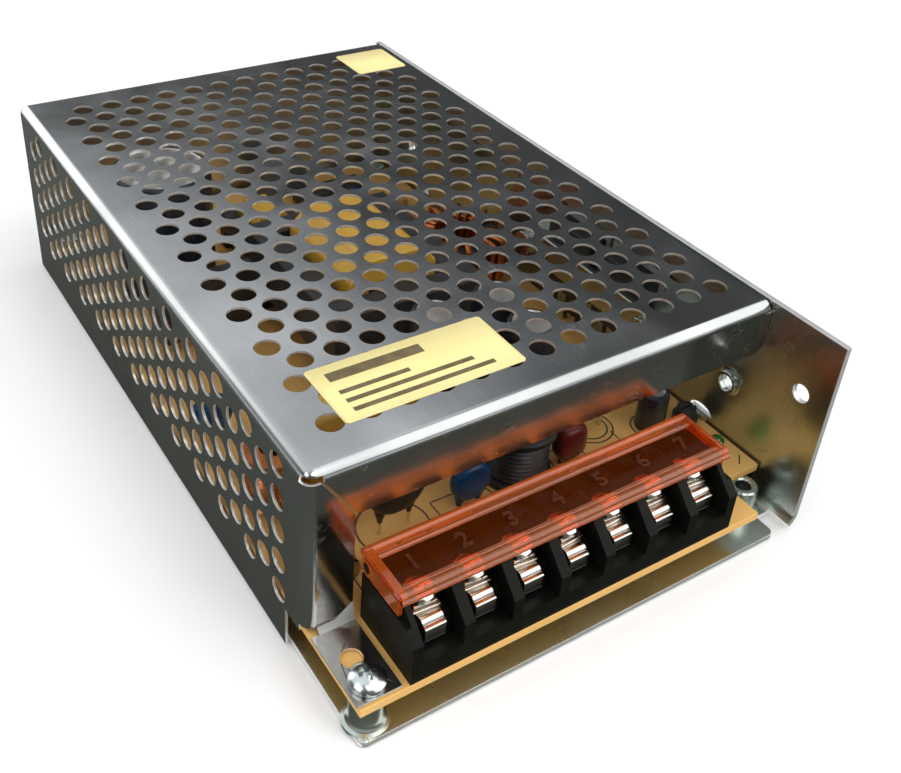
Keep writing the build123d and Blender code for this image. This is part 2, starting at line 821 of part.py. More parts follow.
def make_bulk_capacitor():
    # Can with a rolled groove near its foot
    x, y = bulk_place
    neck = board_top + can_bead_height
    can = post_z(x, y, board_top, neck, bulk_radius, large_sides)
    can += post_z(x, y, neck, neck + can_bead, bulk_radius - can_bead, large_sides)
    return can + post_z(x, y, neck + can_bead, cover_inside - bulk_headroom, bulk_radius, large_sides)


def make_output_capacitors():
    return [post_z(place[0], place[1], board_top, board_top + can_height, can_radius, round_sides)
            for place in output_can_places]


def wound_core(place, size, leg, centre_leg, lift):
    # Two halves of the core closed into a ring with a centre leg along the length
    window_x = (size[0] - centre_leg) / 2 - leg
    window_y = size[1] - 2 * leg
    core = block_on(place, size, board_top + lift)
    for side in (-1, 1):
        x = place[0] + side * (centre_leg + window_x) / 2
        core -= block_on((x, place[1]), (window_x, window_y, size[2] + 2 * past), board_top + lift - past)
    return core


def core_winding(place, size, radius, core_size_here, centre_leg, lift):
    # Taped coil around the centre leg
    z0 = board_top + lift + core_size_here[2] / 2 - size[2] / 2
    coil = block_on(place, size, z0)
    coil = coil.chamfer(radius, None, coil.edges().filter_by(Axis.Y))
    hole = (centre_leg + 2 * winding_gap, size[1] + 2 * past, core_size_here[2] + 2 * winding_gap)
    return coil - block_on(place, hole, board_top + lift - winding_gap)


def make_transformer_core():
    return wound_core(transformer_place, core_size, core_leg, core_centre_leg, core_lift)


def make_transformer_winding():
    return core_winding(transformer_place, winding_size, winding_radius, core_size, core_centre_leg,
                        core_lift)


def make_transformer_rails():
    # Pin rails under both ends of the coil, which carry it on the board
    rails = []
    for side in (-1, 1):
        y = transformer_place[1] + side * (core_size[1] / 2 - core_leg / 2)
        rail = block_on((transformer_place[0], y), (core_size[0], core_leg, core_lift), board_top)
        groove = (core_size[0] - 2 * core_leg, core_leg + past, core_lift / 2)
        rails.append(rail - block_on((transformer_place[0], y), groove, board_top - small))
    return rails


def make_driver_core():
    return wound_core(driver_place, driver_core_size, driver_leg, driver_centre_leg, driver_lift)


def make_driver_winding():
    return core_winding(driver_place, driver_winding_size, driver_winding_radius, driver_core_size,
                        driver_centre_leg, driver_lift)


def make_driver_rails():
    rails = []
    for side in (-1, 1):
        y = driver_place[1] + side * (driver_core_size[1] - driver_leg) / 2
        size = (driver_core_size[0], driver_leg, driver_lift)
        rails.append(block_on((driver_place[0], y), size, board_top))
    return rails


def ring_centre_x():
    return right - ring_from_right


def make_output_ring():
    x = ring_centre_x()
    cover = ring_core_cover
    z0 = board_top + cover
    z1 = board_top + ring_height - cover
    ring = post_z(x, ring_y, z0, z1, ring_radius - cover, large_sides)
    return ring - post_z(x, ring_y, 0, case_height, ring_hole_radius + cover, large_sides)


def make_output_winding():
    # Heavy wire in loops around the ring, one loop a box frame in section
    x = ring_centre_x()
    wire = ring_core_cover - winding_gap
    outer_x = ring_radius - ring_hole_radius
    loop = block(ring_hole_radius, ring_radius, -wire / 2, wire / 2, board_top, board_top + ring_height)
    window = block(ring_hole_radius + wire, ring_hole_radius + outer_x - wire, -wire, wire,
                   board_top + wire, board_top + ring_height - wire)
    loop -= window
    return [Pos(x, ring_y) * Rot(0, 0, 360 * i / ring_turns) * loop for i in range(ring_turns)]


def make_power_devices():
    # Devices on the wall's inside, with three leads down to the board
    devices = []
    x1 = wall_inside - pad_thickness
    x0 = x1 - device_size[0]
    for y in device_ys:
        body = block(x0, x1, y - device_size[1] / 2, y + device_size[1] / 2, device_bottom,
                     device_bottom + device_size[2])
        lead = (lead_width, device_lead_width, device_bottom - board_top + small)
        for i in (-1, 0, 1):
            body += block_on(((x0 + x1) / 2, y + i * device_lead_pitch), lead, board_top)
        devices.append(body)
    return devices


def make_insulating_pads():
    z0 = device_bottom - past
    z1 = z0 + device_size[2] + 2 * past
    half = device_size[1] / 2 + past
    return [block(wall_inside - pad_thickness, wall_inside, y - half, y + half, z0, z1) for y in device_ys]


def clamp_screw_ys():
    # One screw beyond each end of the row of devices
    reach = device_size[1] / 2 + clamp_overhang
    return (device_ys[0] - reach, device_ys[-1] + reach)


def clamp_level():
    return device_bottom + device_size[2] / 2


def make_clamp_bar():
    # Bar across the devices, with a foot to the wall under each of its two screws
    x0 = wall_inside - pad_thickness - device_size[0]
    x1 = x0 - clamp_thickness
    half = clamp_foot_length / 2
    z0 = clamp_level() - clamp_height / 2
    z1 = z0 + clamp_height
    y0, y1 = clamp_screw_ys()
    bar = block(x1, x0, y0 - half, y1 + half, z0, z1)
    for y in (y0, y1):
        bar += block(x0, wall_inside, y - half, y + half, z0, z1)
        bar -= post_x(y, clamp_level(), x1 - past, right, clamp_screw_radius + thread_gap, shank_sides)
    return bar


def make_clamp_screws():
    screws = []
    seat = wall_inside - pad_thickness - device_size[0] - clamp_thickness
    for y in clamp_screw_ys():
        head = post_x(y, clamp_level(), seat - clamp_screw_head_height, seat, clamp_screw_head, round_sides)
        shank = post_x(y, clamp_level(), seat - small, right - small, clamp_screw_radius, shank_sides)
        screws.append(head + shank)
    return screws


def make_control_chip():
    x, y = chip_place
    lift = chip_pin_width
    body = block_on(chip_place, chip_size, board_top + lift)
    for i in range(chip_pins):
        pin_x = x + (i - (chip_pins - 1) / 2) * chip_pin_pitch
        pin = (chip_pin_width, chip_size[1] + 2 * chip_pin_width, chip_size[2] / 2)
        body += block_on((pin_x, y), pin, board_top)
    return body


def make_film_capacitor():
    body = block_on(film_place, film_size, board_top)
    return body.chamfer(lead_width, None, body.faces().sort_by(Axis.Z)[-1].edges())


def make_resistors():
    resistors = []
    for x, y in resistor_places:
        lead_height = resistor_height + resistor_width / 2 + lead_width / 2
        lead = bridge_wire((x, y), resistor_span, lead_height, lead_width)
        size = (resistor_length, resistor_width, resistor_width)
        resistors.append(lead + block_on((x, y), size, board_top + resistor_height))
    return resistors


def save(name, shapes):
    solids = shapes if isinstance(shapes, list) else [shapes]
    solids = [solid for shape in solids for solid in shape.solids()]
    export_step(solids[0] if len(solids) == 1 else Compound(solids), f"parts/{name}.step")


def main():
    os.makedirs("parts", exist_ok=True)
    save("chassis", make_chassis())
    save("cover", make_cover())
    save("corner_screw", make_corner_screw())
    save("board_screws", make_board_screws())
    save("rear_screws", make_rear_screws())
    save("front_sticker", make_front_sticker())
    save("seal_sticker", make_seal_sticker())
    save("circuit_board", make_circuit_board())
    save("terminal_block", make_terminal_block())
    save("terminal_contacts", [make_contact(x) for x in cell_xs])
    save("terminal_washers", [washer for x in cell_xs for washer in make_washers(x)])
    for i, x in enumerate(cell_xs):
        save(f"terminal_screw_{i + 1}", make_terminal_screw(x))
    save("terminal_cover", make_terminal_cover())
    save("trimmer_body", make_trimmer_body())
    save("trimmer_rotor", make_trimmer_rotor())
    save("power_light", make_power_light())
    save("thermistor", make_thermistor())
    save("disc_capacitors", make_disc_capacitors())
    save("line_choke", make_line_choke())
    save("drop_capacitor", make_drop_capacitor())
    save("shunt_wire", make_shunt_wire())
    save("jumper_wires", make_jumper_wires())
    save("small_capacitor", make_small_capacitor())
    save("fuse", make_fuse())
    save("line_capacitor", make_line_capacitor())
    save("line_coil", make_line_coil())
    save("bridge_rectifier", make_bridge_rectifier())
    save("bulk_capacitor", make_bulk_capacitor())
    save("transformer_core", make_transformer_core())
    save("transformer_winding", make_transformer_winding())
    save("transformer_rails", make_transformer_rails())
    save("driver_core", make_driver_core())
    save("driver_winding", make_driver_winding())
    save("driver_rails", make_driver_rails())
    save("output_ring", make_output_ring())
    save("output_winding", make_output_winding())
    save("output_capacitors", make_output_capacitors())
    save("power_devices", make_power_devices())
    save("insulating_pads", make_insulating_pads())
    save("clamp_bar", make_clamp_bar())
    save("clamp_screws", make_clamp_screws())
    save("control_chip", make_control_chip())
    save("film_capacitor", make_film_capacitor())
    save("resistors", make_resistors())


main()
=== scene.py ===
import random
from math import copysign, cos, hypot, radians, sin, tau

import bmesh
import bpy
from mathutils import Matrix, Vector


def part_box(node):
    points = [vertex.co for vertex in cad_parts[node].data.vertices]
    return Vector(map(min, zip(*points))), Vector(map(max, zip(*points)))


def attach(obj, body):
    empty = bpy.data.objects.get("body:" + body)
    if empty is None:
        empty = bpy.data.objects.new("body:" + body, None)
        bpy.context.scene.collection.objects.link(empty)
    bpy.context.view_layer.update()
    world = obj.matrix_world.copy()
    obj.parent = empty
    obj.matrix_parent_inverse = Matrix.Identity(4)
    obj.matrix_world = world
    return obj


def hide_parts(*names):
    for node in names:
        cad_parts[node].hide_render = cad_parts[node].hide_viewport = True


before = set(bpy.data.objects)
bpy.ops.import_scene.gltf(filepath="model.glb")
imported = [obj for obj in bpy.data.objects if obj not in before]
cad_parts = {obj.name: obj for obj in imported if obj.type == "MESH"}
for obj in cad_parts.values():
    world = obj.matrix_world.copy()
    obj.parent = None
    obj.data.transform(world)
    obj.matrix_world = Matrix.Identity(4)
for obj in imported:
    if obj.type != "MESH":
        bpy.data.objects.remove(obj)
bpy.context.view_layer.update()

# Sizes in millimetres, in the frame of the solids
mm = 0.001
left = -49
right = 49
front = -80
rear = 80
height = 43
board_top = 8.8
board_bottom = 7.2

# Cover
cover_sheet = 0.5
cover_bend = 2.1
right_bend = 0.7
cover_front = -63.5
cover_right = 47.7
cover_foot = 0.4
lip_bottom = 32
lip_corner = 2.5
flange_right = -40.4
mitre_top = -46.3
mitre_gap = 0.5
tab_top = 9.6
tab_left = -48.4
tab_front = -79
tab_bend = 0.8
skirt_bottom = 35
skirt_front = -58
notch_top = 8.8
notch_rear = -56.5
perforation_radius = 2.3
row_pitch = 5.43
hole_pitch = 6.8
first_row = -54.2
row_count = 24
first_hole_x = -39.9
last_hole_x = 42.7
first_wall_hole_z = 11.3
last_wall_hole_z = 38.6
ear_xs = (-30, 30)
ear_hole_z = 4.2

# Base
base_sheet = 1.2
base_left = -48
base_outer_bend = 3.6
floor_corner = 1.5
floor_rear = 79.1
tongue_right = 43.3
tongue_length = 4.8
corner_screw = (-44.7, -75.7)
spare_hole = (-44.7, -70.8)
boss_places = [corner_screw, (42, -71.4), (-43, 71.3), (43, 71.3)]
boss_radius = 2.9
thread_radius = 1.5
side_hole = (front + 6.2, 29)
side_hole_radius = 1.85
tapped_ys = (front + 22, rear - 22)
tapped_z = 21
tapped_radius = 1.65
hook_ys = (front + 27, rear - 27)
hook_z = 10
hook_reach = 3
hook_opening = 1.7

# Terminals and their cover
cell_xs = [-33.3 + 9.5 * i for i in range(7)]
terminal_y = -71.4
contact_z = 17.4
contact_thickness = 0.8
washer_top = 18.8
lid_under = 22.4
lid_field = 23.4
lid_end = 0.8
hinge_y = -65
hinge_z = 21.1
lead_radius = 0.35

graph = bpy.context.evaluated_depsgraph_get
square = ((-1, -1), (1, -1), (1, 1), (-1, 1))
facing_front = Matrix.Rotation(radians(90), 4, "X")
facing_left = Matrix.Rotation(radians(-90), 4, "Y")
looks = {}


def box_of(node):
    return [Vector(corner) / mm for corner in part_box(node)]


def new_piece(name, data):
    piece = bpy.data.objects.new(name, data)
    bpy.context.scene.collection.objects.link(piece)
    return piece


def smooth(mesh, sharp):
    # Smooth shading, with the edges over an angle left sharp
    mesh.shade_smooth()
    mesh.set_sharp_from_angle(angle=radians(sharp))


def from_work(name, work, sharp=35, closed=True, unit=mm):
    # Makes a piece of a working mesh, drawn in millimetres or the unit given
    if closed:
        bmesh.ops.recalc_face_normals(work, faces=work.faces)
    bmesh.ops.scale(work, vec=(unit, unit, unit), verts=work.verts)
    mesh = bpy.data.meshes.new(name)
    work.to_mesh(mesh)
    work.free()
    smooth(mesh, sharp)
    return new_piece(name, mesh)


def settle(piece):
    # Turns a piece's modifiers into plain mesh
    bpy.context.view_layer.update()
    mesh = bpy.data.meshes.new_from_object(piece.evaluated_get(graph()))
    piece.modifiers.clear()
    piece.data = mesh
    return piece


def ease_edges(piece, radius, steps=2, angle=40):
    bevel = piece.modifiers.new("eased", "BEVEL")
    bevel.width = radius * mm
    bevel.segments = steps
    bevel.limit_method = "ANGLE"
    bevel.angle_limit = radians(angle)
    weighted = piece.modifiers.new("weighted", "WEIGHTED_NORMAL")
    weighted.weight = 100
    weighted.keep_sharp = True
    return settle(piece)


def fit(piece, finish, nodes=(), body="case"):
    # Gives a piece its finish, its body and the solids that it stands for
    if finish:
        piece.data.materials.append(looks[finish])
    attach(piece, body)
    if nodes:
        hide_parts(*nodes)
    return piece


def round_points(x, y, radius, start, turn, steps, rise=None):
    # Points of a round about (x, y), in degrees, or of an oval where rise is given
    angles = [radians(start + turn * i / steps) for i in range(steps + 1)]
    return [(x + radius * cos(a), y + (rise or radius) * sin(a)) for a in angles]


def circle(x, y, radius, sides=24):
    return round_points(x, y, radius, 0, 360, sides)[:-1]


def rounded_corner(x, y, radius, start, steps=6):
    return round_points(x, y, radius, start, 90, steps)


def arc(steps=8):
    return [radians(90 * i / steps) for i in range(steps + 1)]


def plane(axis, distance):
    # Place of a flat outline drawn on a plane across x, y or z, along the other two
    u, v = [Vector([int(name == other) for other in "xyz"]) for name in "xyz" if name != axis]
    origin = [distance if name == axis else 0 for name in "xyz"]
    return Matrix.Translation(origin) @ Matrix((u, v, u.cross(v))).transposed().to_4x4()


def at(x, y, z, tilt=Matrix()):
    return Matrix.Translation((x, y, z)) @ tilt


def turned(degrees):
    return Matrix.Rotation(radians(degrees), 4, "Z")


def add_flat(work, outline, place, holes=()):
    # A flat face with round or shaped holes
    curve = bpy.data.curves.new("outline", "CURVE")
    curve.dimensions = "2D"
    curve.fill_mode = "BOTH"
    for points in (outline, *holes):
        line = curve.splines.new("POLY")
        line.points.add(len(points) - 1)
        line.use_cyclic_u = True
        for point, (x, y) in zip(line.points, points):
            point.co = (x, y, 0, 1)
    mesh = bpy.data.meshes.new_from_object(bpy.data.objects.new("outline", curve))
    mesh.transform(place)
    work.from_mesh(mesh)


def add_face(work, points):
    work.faces.new([work.verts.new(point) for point in points])


def add_rows(work, rows, closed=False):
    # Quads between rows of points
    lines = [[work.verts.new(point) for point in row] for row in rows]
    for a, b in zip(lines, lines[1:]):
        count = len(a) if closed else len(a) - 1
        for i in range(count):
            j = (i + 1) % len(a)
            work.faces.new((a[i], a[j], b[j], b[i]))
    return lines


def add_bar(work, rows):
    # Closed bar through rows of points, capped at both ends
    lines = add_rows(work, rows, closed=True)
    work.faces.new(lines[0][::-1])
    work.faces.new(lines[-1])


def add_bend(work, ends, first, second, radius, angles):
    # Round of a folded sheet along a line, turning from one direction to another
    def point(end, a):
        turn = [u * cos(a) + v * sin(a) for u, v in zip(first, second)]
        return [e + radius * t for e, t in zip(end, turn)]

    add_rows(work, [[point(end, a) for end in ends] for a in angles])


def add_turned(work, profile, place, sides=40):
    # Spins (radius, height) points round the place's own up direction
    rings = []
    for radius, z in profile:
        ring = circle(0, 0, radius, sides) if radius > 0 else [(0, 0)]
        rings.append([work.verts.new(place @ Vector((x, y, z))) for x, y in ring])
    for a, b in zip(rings, rings[1:]):
        for i in range(sides):
            j = (i + 1) % sides
            corners = [a[i % len(a)], a[j % len(a)], b[j % len(b)], b[i % len(b)]]
            corners = [v for k, v in enumerate(corners) if v not in corners[:k]]
            if len(corners) > 2:
                work.faces.new(corners)


def turned_piece(name, profile, place, finish, nodes=(), sides=48, sharp=35):
    work = bmesh.new()
    add_turned(work, profile, place, sides)
    return fit(from_work(name, work, sharp), finish, nodes)


def add_wire(work, points, radius, sides=10, bend=0):
    # Round wire along points, with its corners bent round
    line = [Vector(p) for p in points]
    if bend:
        bent = [line[0]]
        for a, b, c in zip(line, line[1:], line[2:]):
            start = b + (a - b).normalized() * bend
            end = b + (c - b).normalized() * bend
            for i in range(6):
                t = i / 5
                bent.append((1 - t) ** 2 * start + 2 * t * (1 - t) * b + t ** 2 * end)
        line = bent + [line[-1]]
    rings = []
    side = None
    for i, p in enumerate(line):
        along = (line[min(i + 1, len(line) - 1)] - line[max(i - 1, 0)]).normalized()
        if side is None:
            side = along.orthogonal().normalized()
        side = (side - along * side.dot(along)).normalized()
        other = along.cross(side)
        rings.append([p + side * x + other * y for x, y in circle(0, 0, radius, sides)])
    add_bar(work, rings)


def face_outward(work, centre):
    # Turns each connected stretch of an open shell away from its middle
    bmesh.ops.beautify_fill(work, faces=work.faces, edges=work.edges)
    bmesh.ops.dissolve_degenerate(work, edges=work.edges, dist=0.0005)
    bmesh.ops.recalc_face_normals(work, faces=work.faces)
    work.normal_update()
    waiting = set(work.faces)
    while waiting:
        stretch = [waiting.pop()]
        for face in stretch:
            beside = [other for edge in face.edges for other in edge.link_faces]
            for other in beside:
                if other in waiting:
                    waiting.remove(other)
                    stretch.append(other)
        lean = 0
        for face in stretch:
            lean += face.calc_area() * face.normal.dot(face.calc_center_median() - Vector(centre))
        if lean < 0:
            for face in stretch:
                face.normal_flip()


def face_toward(faces, direction):
    for face in faces:
        face.normal_update()
        if face.normal.dot(Vector(direction)) < 0:
            face.normal_flip()


def weld(work):
    bmesh.ops.remove_doubles(work, verts=work.verts, dist=0.002)


def thicken(piece, finishes, thickness, rim, steps=1, inner=0):
    # Thickens an open shell inward, with bare cut edges in a lighter finish that is a painted highlight,
    # eased a little
    solid = piece.modifiers.new("sheet", "SOLIDIFY")
    solid.thickness = thickness * mm
    solid.offset = -1
    solid.use_even_offset = True
    solid.material_offset = inner
    solid.material_offset_rim = len(finishes) - 1
    for finish in finishes:
        piece.data.materials.append(looks[finish])
    ease_edges(piece, rim, steps, 50)


def feed(tree, node, inputs):
    # Gives each input of a node a link or a plain value
    for key, value in inputs.items():
        socket = node.inputs[key.replace("_", " ") if isinstance(key, str) else key]
        if isinstance(value, bpy.types.NodeSocket):
            tree.links.new(value, socket)
        else:
            socket.default_value = value


def add_node(tree, kind, *values, **named):
    # Makes a node and returns its outputs; names in lower case are settings, the others are inputs
    node = tree.nodes.new("ShaderNode" + kind)
    for name in [name for name in named if name.islower()]:
        setattr(node, name, named.pop(name))
    feed(tree, node, dict(enumerate(values)))
    feed(tree, node, named)
    return node.outputs


def start_group(name, result, **inputs):
    # Shared effect with one result; each input's usual value says what kind it is
    kinds = {3: "NodeSocketVector", 4: "NodeSocketColor"}
    group = bpy.data.node_groups.new(name, "ShaderNodeTree")
    for key, value in inputs.items():
        kind = kinds[len(value)] if isinstance(value, tuple) else "NodeSocketFloat"
        group.interface.new_socket(key, in_out="INPUT", socket_type=kind).default_value = value
    kind = "NodeSocketColor" if result == "Colour" else "NodeSocketFloat"
    group.interface.new_socket(result, in_out="OUTPUT", socket_type=kind)
    given = group.nodes.new("NodeGroupInput").outputs
    return group, given, add_node(group, "TexCoord")["Object"]


def end_group(group, result):
    group.links.new(result, group.nodes.new("NodeGroupOutput").inputs[0])
    return group


def make_mottle():
    # Soft blotches between two colours
    group, given, where = start_group("mottle", "Colour", Colour=(0.5, 0.5, 0.5, 1), Other=(0.4, 0.4, 0.4, 1),
            Scale=100, Contrast=1)
    noise = add_node(group, "TexNoise", Vector=where, Scale=given["Scale"], Detail=5)
    ramp = add_node(group, "MapRange", Value=noise["Fac"], From_Min=0.35, From_Max=0.65,
            To_Max=given["Contrast"])
    mix = add_node(group, "Mix", data_type="RGBA", Factor=ramp["Result"], A=given["Colour"], B=given["Other"])
    return end_group(group, mix["Result"])


def make_sheen():
    # Roughness that wanders between two values
    group, given, where = start_group("sheen", "Roughness", Scale=60, Smoothest=0.2, Roughest=0.4)
    noise = add_node(group, "TexNoise", Vector=where, Scale=given["Scale"], Detail=6, Distortion=0.6)
    spread = add_node(group, "MapRange", Value=noise["Fac"], From_Min=0.3, From_Max=0.7,
            To_Min=given["Smoothest"], To_Max=given["Roughest"])
    return end_group(group, spread["Result"])


def make_grain():
    # Fine relief, drawn out along one direction
    group, given, where = start_group("grain", "Height", Stretch=(1, 1, 1), Scale=800)
    stretched = add_node(group, "VectorMath", where, given["Stretch"], operation="MULTIPLY")
    noise = add_node(group, "TexNoise", Vector=stretched["Vector"], Scale=given["Scale"], Detail=4)
    return end_group(group, noise["Fac"])


def make_scratches():
    # Mask of thin wandering lines, kept in patches only
    group, given, where = start_group("scratches", "Mask", Stretch=(1, 1, 1), Scale=60, Width=0.01)
    stretched = add_node(group, "VectorMath", where, given["Stretch"], operation="MULTIPLY")
    noise = add_node(group, "TexNoise", Vector=stretched["Vector"], Scale=given["Scale"], Detail=3,
            Distortion=1.2)
    middle = add_node(group, "Math", noise["Fac"], 0.5, operation="SUBTRACT")
    away = add_node(group, "Math", middle["Value"], operation="ABSOLUTE")
    line = add_node(group, "MapRange", Value=away["Value"], From_Max=given["Width"], To_Min=1, To_Max=0)
    patches = add_node(group, "TexNoise", Vector=where, Scale=given["Scale"])
    keep = add_node(group, "MapRange", Value=patches["Fac"], From_Min=0.56, From_Max=0.6)
    short = add_node(group, "Math", line["Result"], keep["Result"], operation="MULTIPLY")
    return end_group(group, short["Value"])


mottle = make_mottle()
scratches = make_scratches()
sheen = make_sheen()
grain = make_grain()


def make_finish(name, colour, other, smoothest, roughest, blotch, metal=0, contrast=1, relief=0.05,
        relief_scale=900, stretch=(1, 1, 1), **sockets):
    # A finish from the shared effects, with its own colours, gloss and relief
    finish = bpy.data.materials.new(name)
    finish.use_nodes = True
    tree = finish.node_tree
    tone = add_node(tree, "Group", node_tree=mottle, Colour=(*colour, 1), Other=(*other, 1), Scale=blotch,
            Contrast=contrast)
    gloss = add_node(tree, "Group", node_tree=sheen, Scale=blotch, Smoothest=smoothest, Roughest=roughest)
    fine = add_node(tree, "Group", node_tree=grain, Stretch=stretch, Scale=relief_scale)
    bump = add_node(tree, "Bump", Strength=relief, Distance=0.0002, Height=fine["Height"])
    sockets.update({"Metallic": metal, "Base Color": tone["Colour"], "Roughness": gloss["Roughness"],
            "Normal": bump["Normal"]})
    feed(tree, tree.nodes["Principled BSDF"], sockets)
    looks[name] = finish


def make_clear(*look, clear=1, **sockets):
    # See-through moulding or glass, tinted by its colour
    make_finish(*look, contrast=0.6, relief=0.03, relief_scale=300, Transmission_Weight=clear, **sockets)


def scratch(name, scale, width, colour, stretch, amount):
    # Draws thin scratches over a finish, lighter and rougher than the rest
    tree = looks[name].node_tree
    shader = tree.nodes["Principled BSDF"]
    under, gloss = [shader.inputs[key].links[0].from_socket for key in ("Base Color", "Roughness")]
    lines = add_node(tree, "Group", node_tree=scratches, Scale=scale, Width=width, Stretch=stretch)
    share = add_node(tree, "Math", lines["Mask"], amount, operation="MULTIPLY")["Value"]
    mix = add_node(tree, "Mix", data_type="RGBA", Factor=share, A=under, B=(*colour, 1))
    rougher = add_node(tree, "Math", share, 0.35, gloss, operation="MULTIPLY_ADD")
    feed(tree, shader, {"Base Color": mix["Result"], "Roughness": rougher["Value"]})


make_finish("bright_steel", (0.52, 0.53, 0.53), (0.38, 0.4, 0.405), 0.1, 0.26, 34, 1,
        relief_scale=420, stretch=(1, 0.12, 1))
# Front lip's copy of the steel: real scuffs, and a darker colour that is painted shade in its reflections
make_finish("scuffed_steel_painted_shade", (0.38, 0.38, 0.37), (0.28, 0.28, 0.27), 0.1, 0.2, 40, 1, relief=0.08,
        relief_scale=420)
make_finish("base_zinc", (0.56, 0.6, 0.56), (0.44, 0.5, 0.46), 0.2, 0.36, 45, 1, relief=0.08,
        relief_scale=700)
make_finish("block_black", (0.003, 0.004, 0.003), (0.007, 0.007, 0.005), 0.38, 0.5, 200, relief=0.06,
        Specular_IOR_Level=0.12)
make_finish("board_tan", (0.84, 0.5, 0.155), (0.74, 0.42, 0.12), 0.38, 0.52, 55, contrast=0.8, relief=0.1,
        relief_scale=1500)
make_finish("paper_yellow", (0.93, 0.8, 0.36), (0.88, 0.74, 0.3), 0.42, 0.55, 70, contrast=0.7, relief=0.06,
        relief_scale=1200)
make_finish("ferrite", (0.025, 0.025, 0.028), (0.05, 0.05, 0.053), 0.45, 0.65, 500, relief=0.15)
make_finish("tape_yellow", (0.88, 0.54, 0.09), (0.76, 0.44, 0.05), 0.16, 0.28, 60, relief=0.1,
        relief_scale=500, stretch=(0.1, 0.1, 1))
# Plain finishes: two colours, smoothest and roughest, size of the blotches, metal
for row in [
    # Bare cut edges, partly painted highlight: lighter than the sheet so that the rims show bright
    ("cut_edge_painted_highlight", (0.95, 0.95, 0.93), (0.84, 0.84, 0.82), 0.3, 0.42, 300, 0.8),
    # Inner side of the cover sheet: satin, and lighter as painted light inside the case
    ("inner_steel_painted_light", (0.74, 0.74, 0.72), (0.64, 0.64, 0.62), 0.3, 0.45, 40, 1),
    ("screw_zinc", (0.66, 0.7, 0.69), (0.52, 0.58, 0.58), 0.16, 0.3, 350, 1),
    ("nickel", (0.78, 0.74, 0.68), (0.62, 0.57, 0.5), 0.12, 0.28, 400, 1),
    ("can_top", (0.72, 0.72, 0.7), (0.58, 0.58, 0.56), 0.28, 0.42, 350, 1),
    ("tinned", (0.8, 0.79, 0.76), (0.66, 0.65, 0.62), 0.2, 0.34, 400, 1),
    ("copper", (0.62, 0.22, 0.07), (0.46, 0.14, 0.04), 0.18, 0.3, 250, 0.85),
    ("satin_black", (0.015, 0.015, 0.016), (0.035, 0.035, 0.034), 0.35, 0.55, 300),
    ("sleeve_black", (0.012, 0.014, 0.02), (0.03, 0.03, 0.04), 0.22, 0.34, 150),
    ("print_dark", (0.035, 0.03, 0.025), (0.07, 0.06, 0.045), 0.5, 0.7, 600),
    ("print_brown", (0.1, 0.075, 0.03), (0.16, 0.12, 0.05), 0.45, 0.6, 500),
    ("disc_blue", (0.008, 0.05, 0.15), (0.012, 0.08, 0.22), 0.2, 0.32, 300),
    ("dip_red", (0.13, 0.015, 0.012), (0.2, 0.025, 0.02), 0.18, 0.3, 300),
    ("case_yellow", (0.82, 0.52, 0.12), (0.74, 0.45, 0.09), 0.3, 0.42, 120),
    ("case_grey", (0.1, 0.105, 0.11), (0.14, 0.145, 0.15), 0.4, 0.52, 200),
    ("pad_grey", (0.36, 0.38, 0.38), (0.28, 0.3, 0.3), 0.5, 0.7, 300),
    ("lacquer_tan", (0.55, 0.38, 0.2), (0.47, 0.31, 0.15), 0.3, 0.42, 400),
]:
    make_finish(*row)
# Copies of one plastic: the ridges and ends less clear, lighter as painted light gathered in the thick
# rounds; the field reflecting little, kept dark as painted shade
make_clear("lid_orange", (0.95, 0.24, 0.03), (0.88, 0.19, 0.02), 0.03, 0.06, 80, clear=0.97, IOR=1.15)
make_clear("lid_rim_painted_light", (1, 0.25, 0.035), (0.95, 0.19, 0.025), 0.04, 0.09, 120, clear=0.78, IOR=1.5,
        Coat_Weight=0.3, Coat_IOR=1.7, Coat_Roughness=0.03)
make_clear("lid_frost", (0.45, 0.18, 0.09), (0.4, 0.15, 0.07), 0.25, 0.4, 300, clear=0.9, IOR=1.3)
make_clear("light_green", (0.16, 0.62, 0.16), (0.12, 0.5, 0.12), 0.06, 0.14, 400, IOR=1.5)
make_clear("tube_glass", (0.9, 0.95, 0.95), (0.85, 0.9, 0.9), 0.02, 0.06, 200, IOR=1.45)
scratch("bright_steel", 90, 0.004, (0.8, 0.81, 0.81), (1, 0.12, 1), 0.22)
scratch("scuffed_steel_painted_shade", 260, 0.02, (0.8, 0.8, 0.78), (0.5, 1, 1), 0.45)


def perforation(first, last):
    # Centres of the staggered holes, each by its place in the row and the row's own place
    centres = []
    for k in range(row_count):
        place = first + k % 2 / 2 * hole_pitch
        while place <= last:
            centres.append((place, first_row + row_pitch * k))
            place += hole_pitch
    return centres


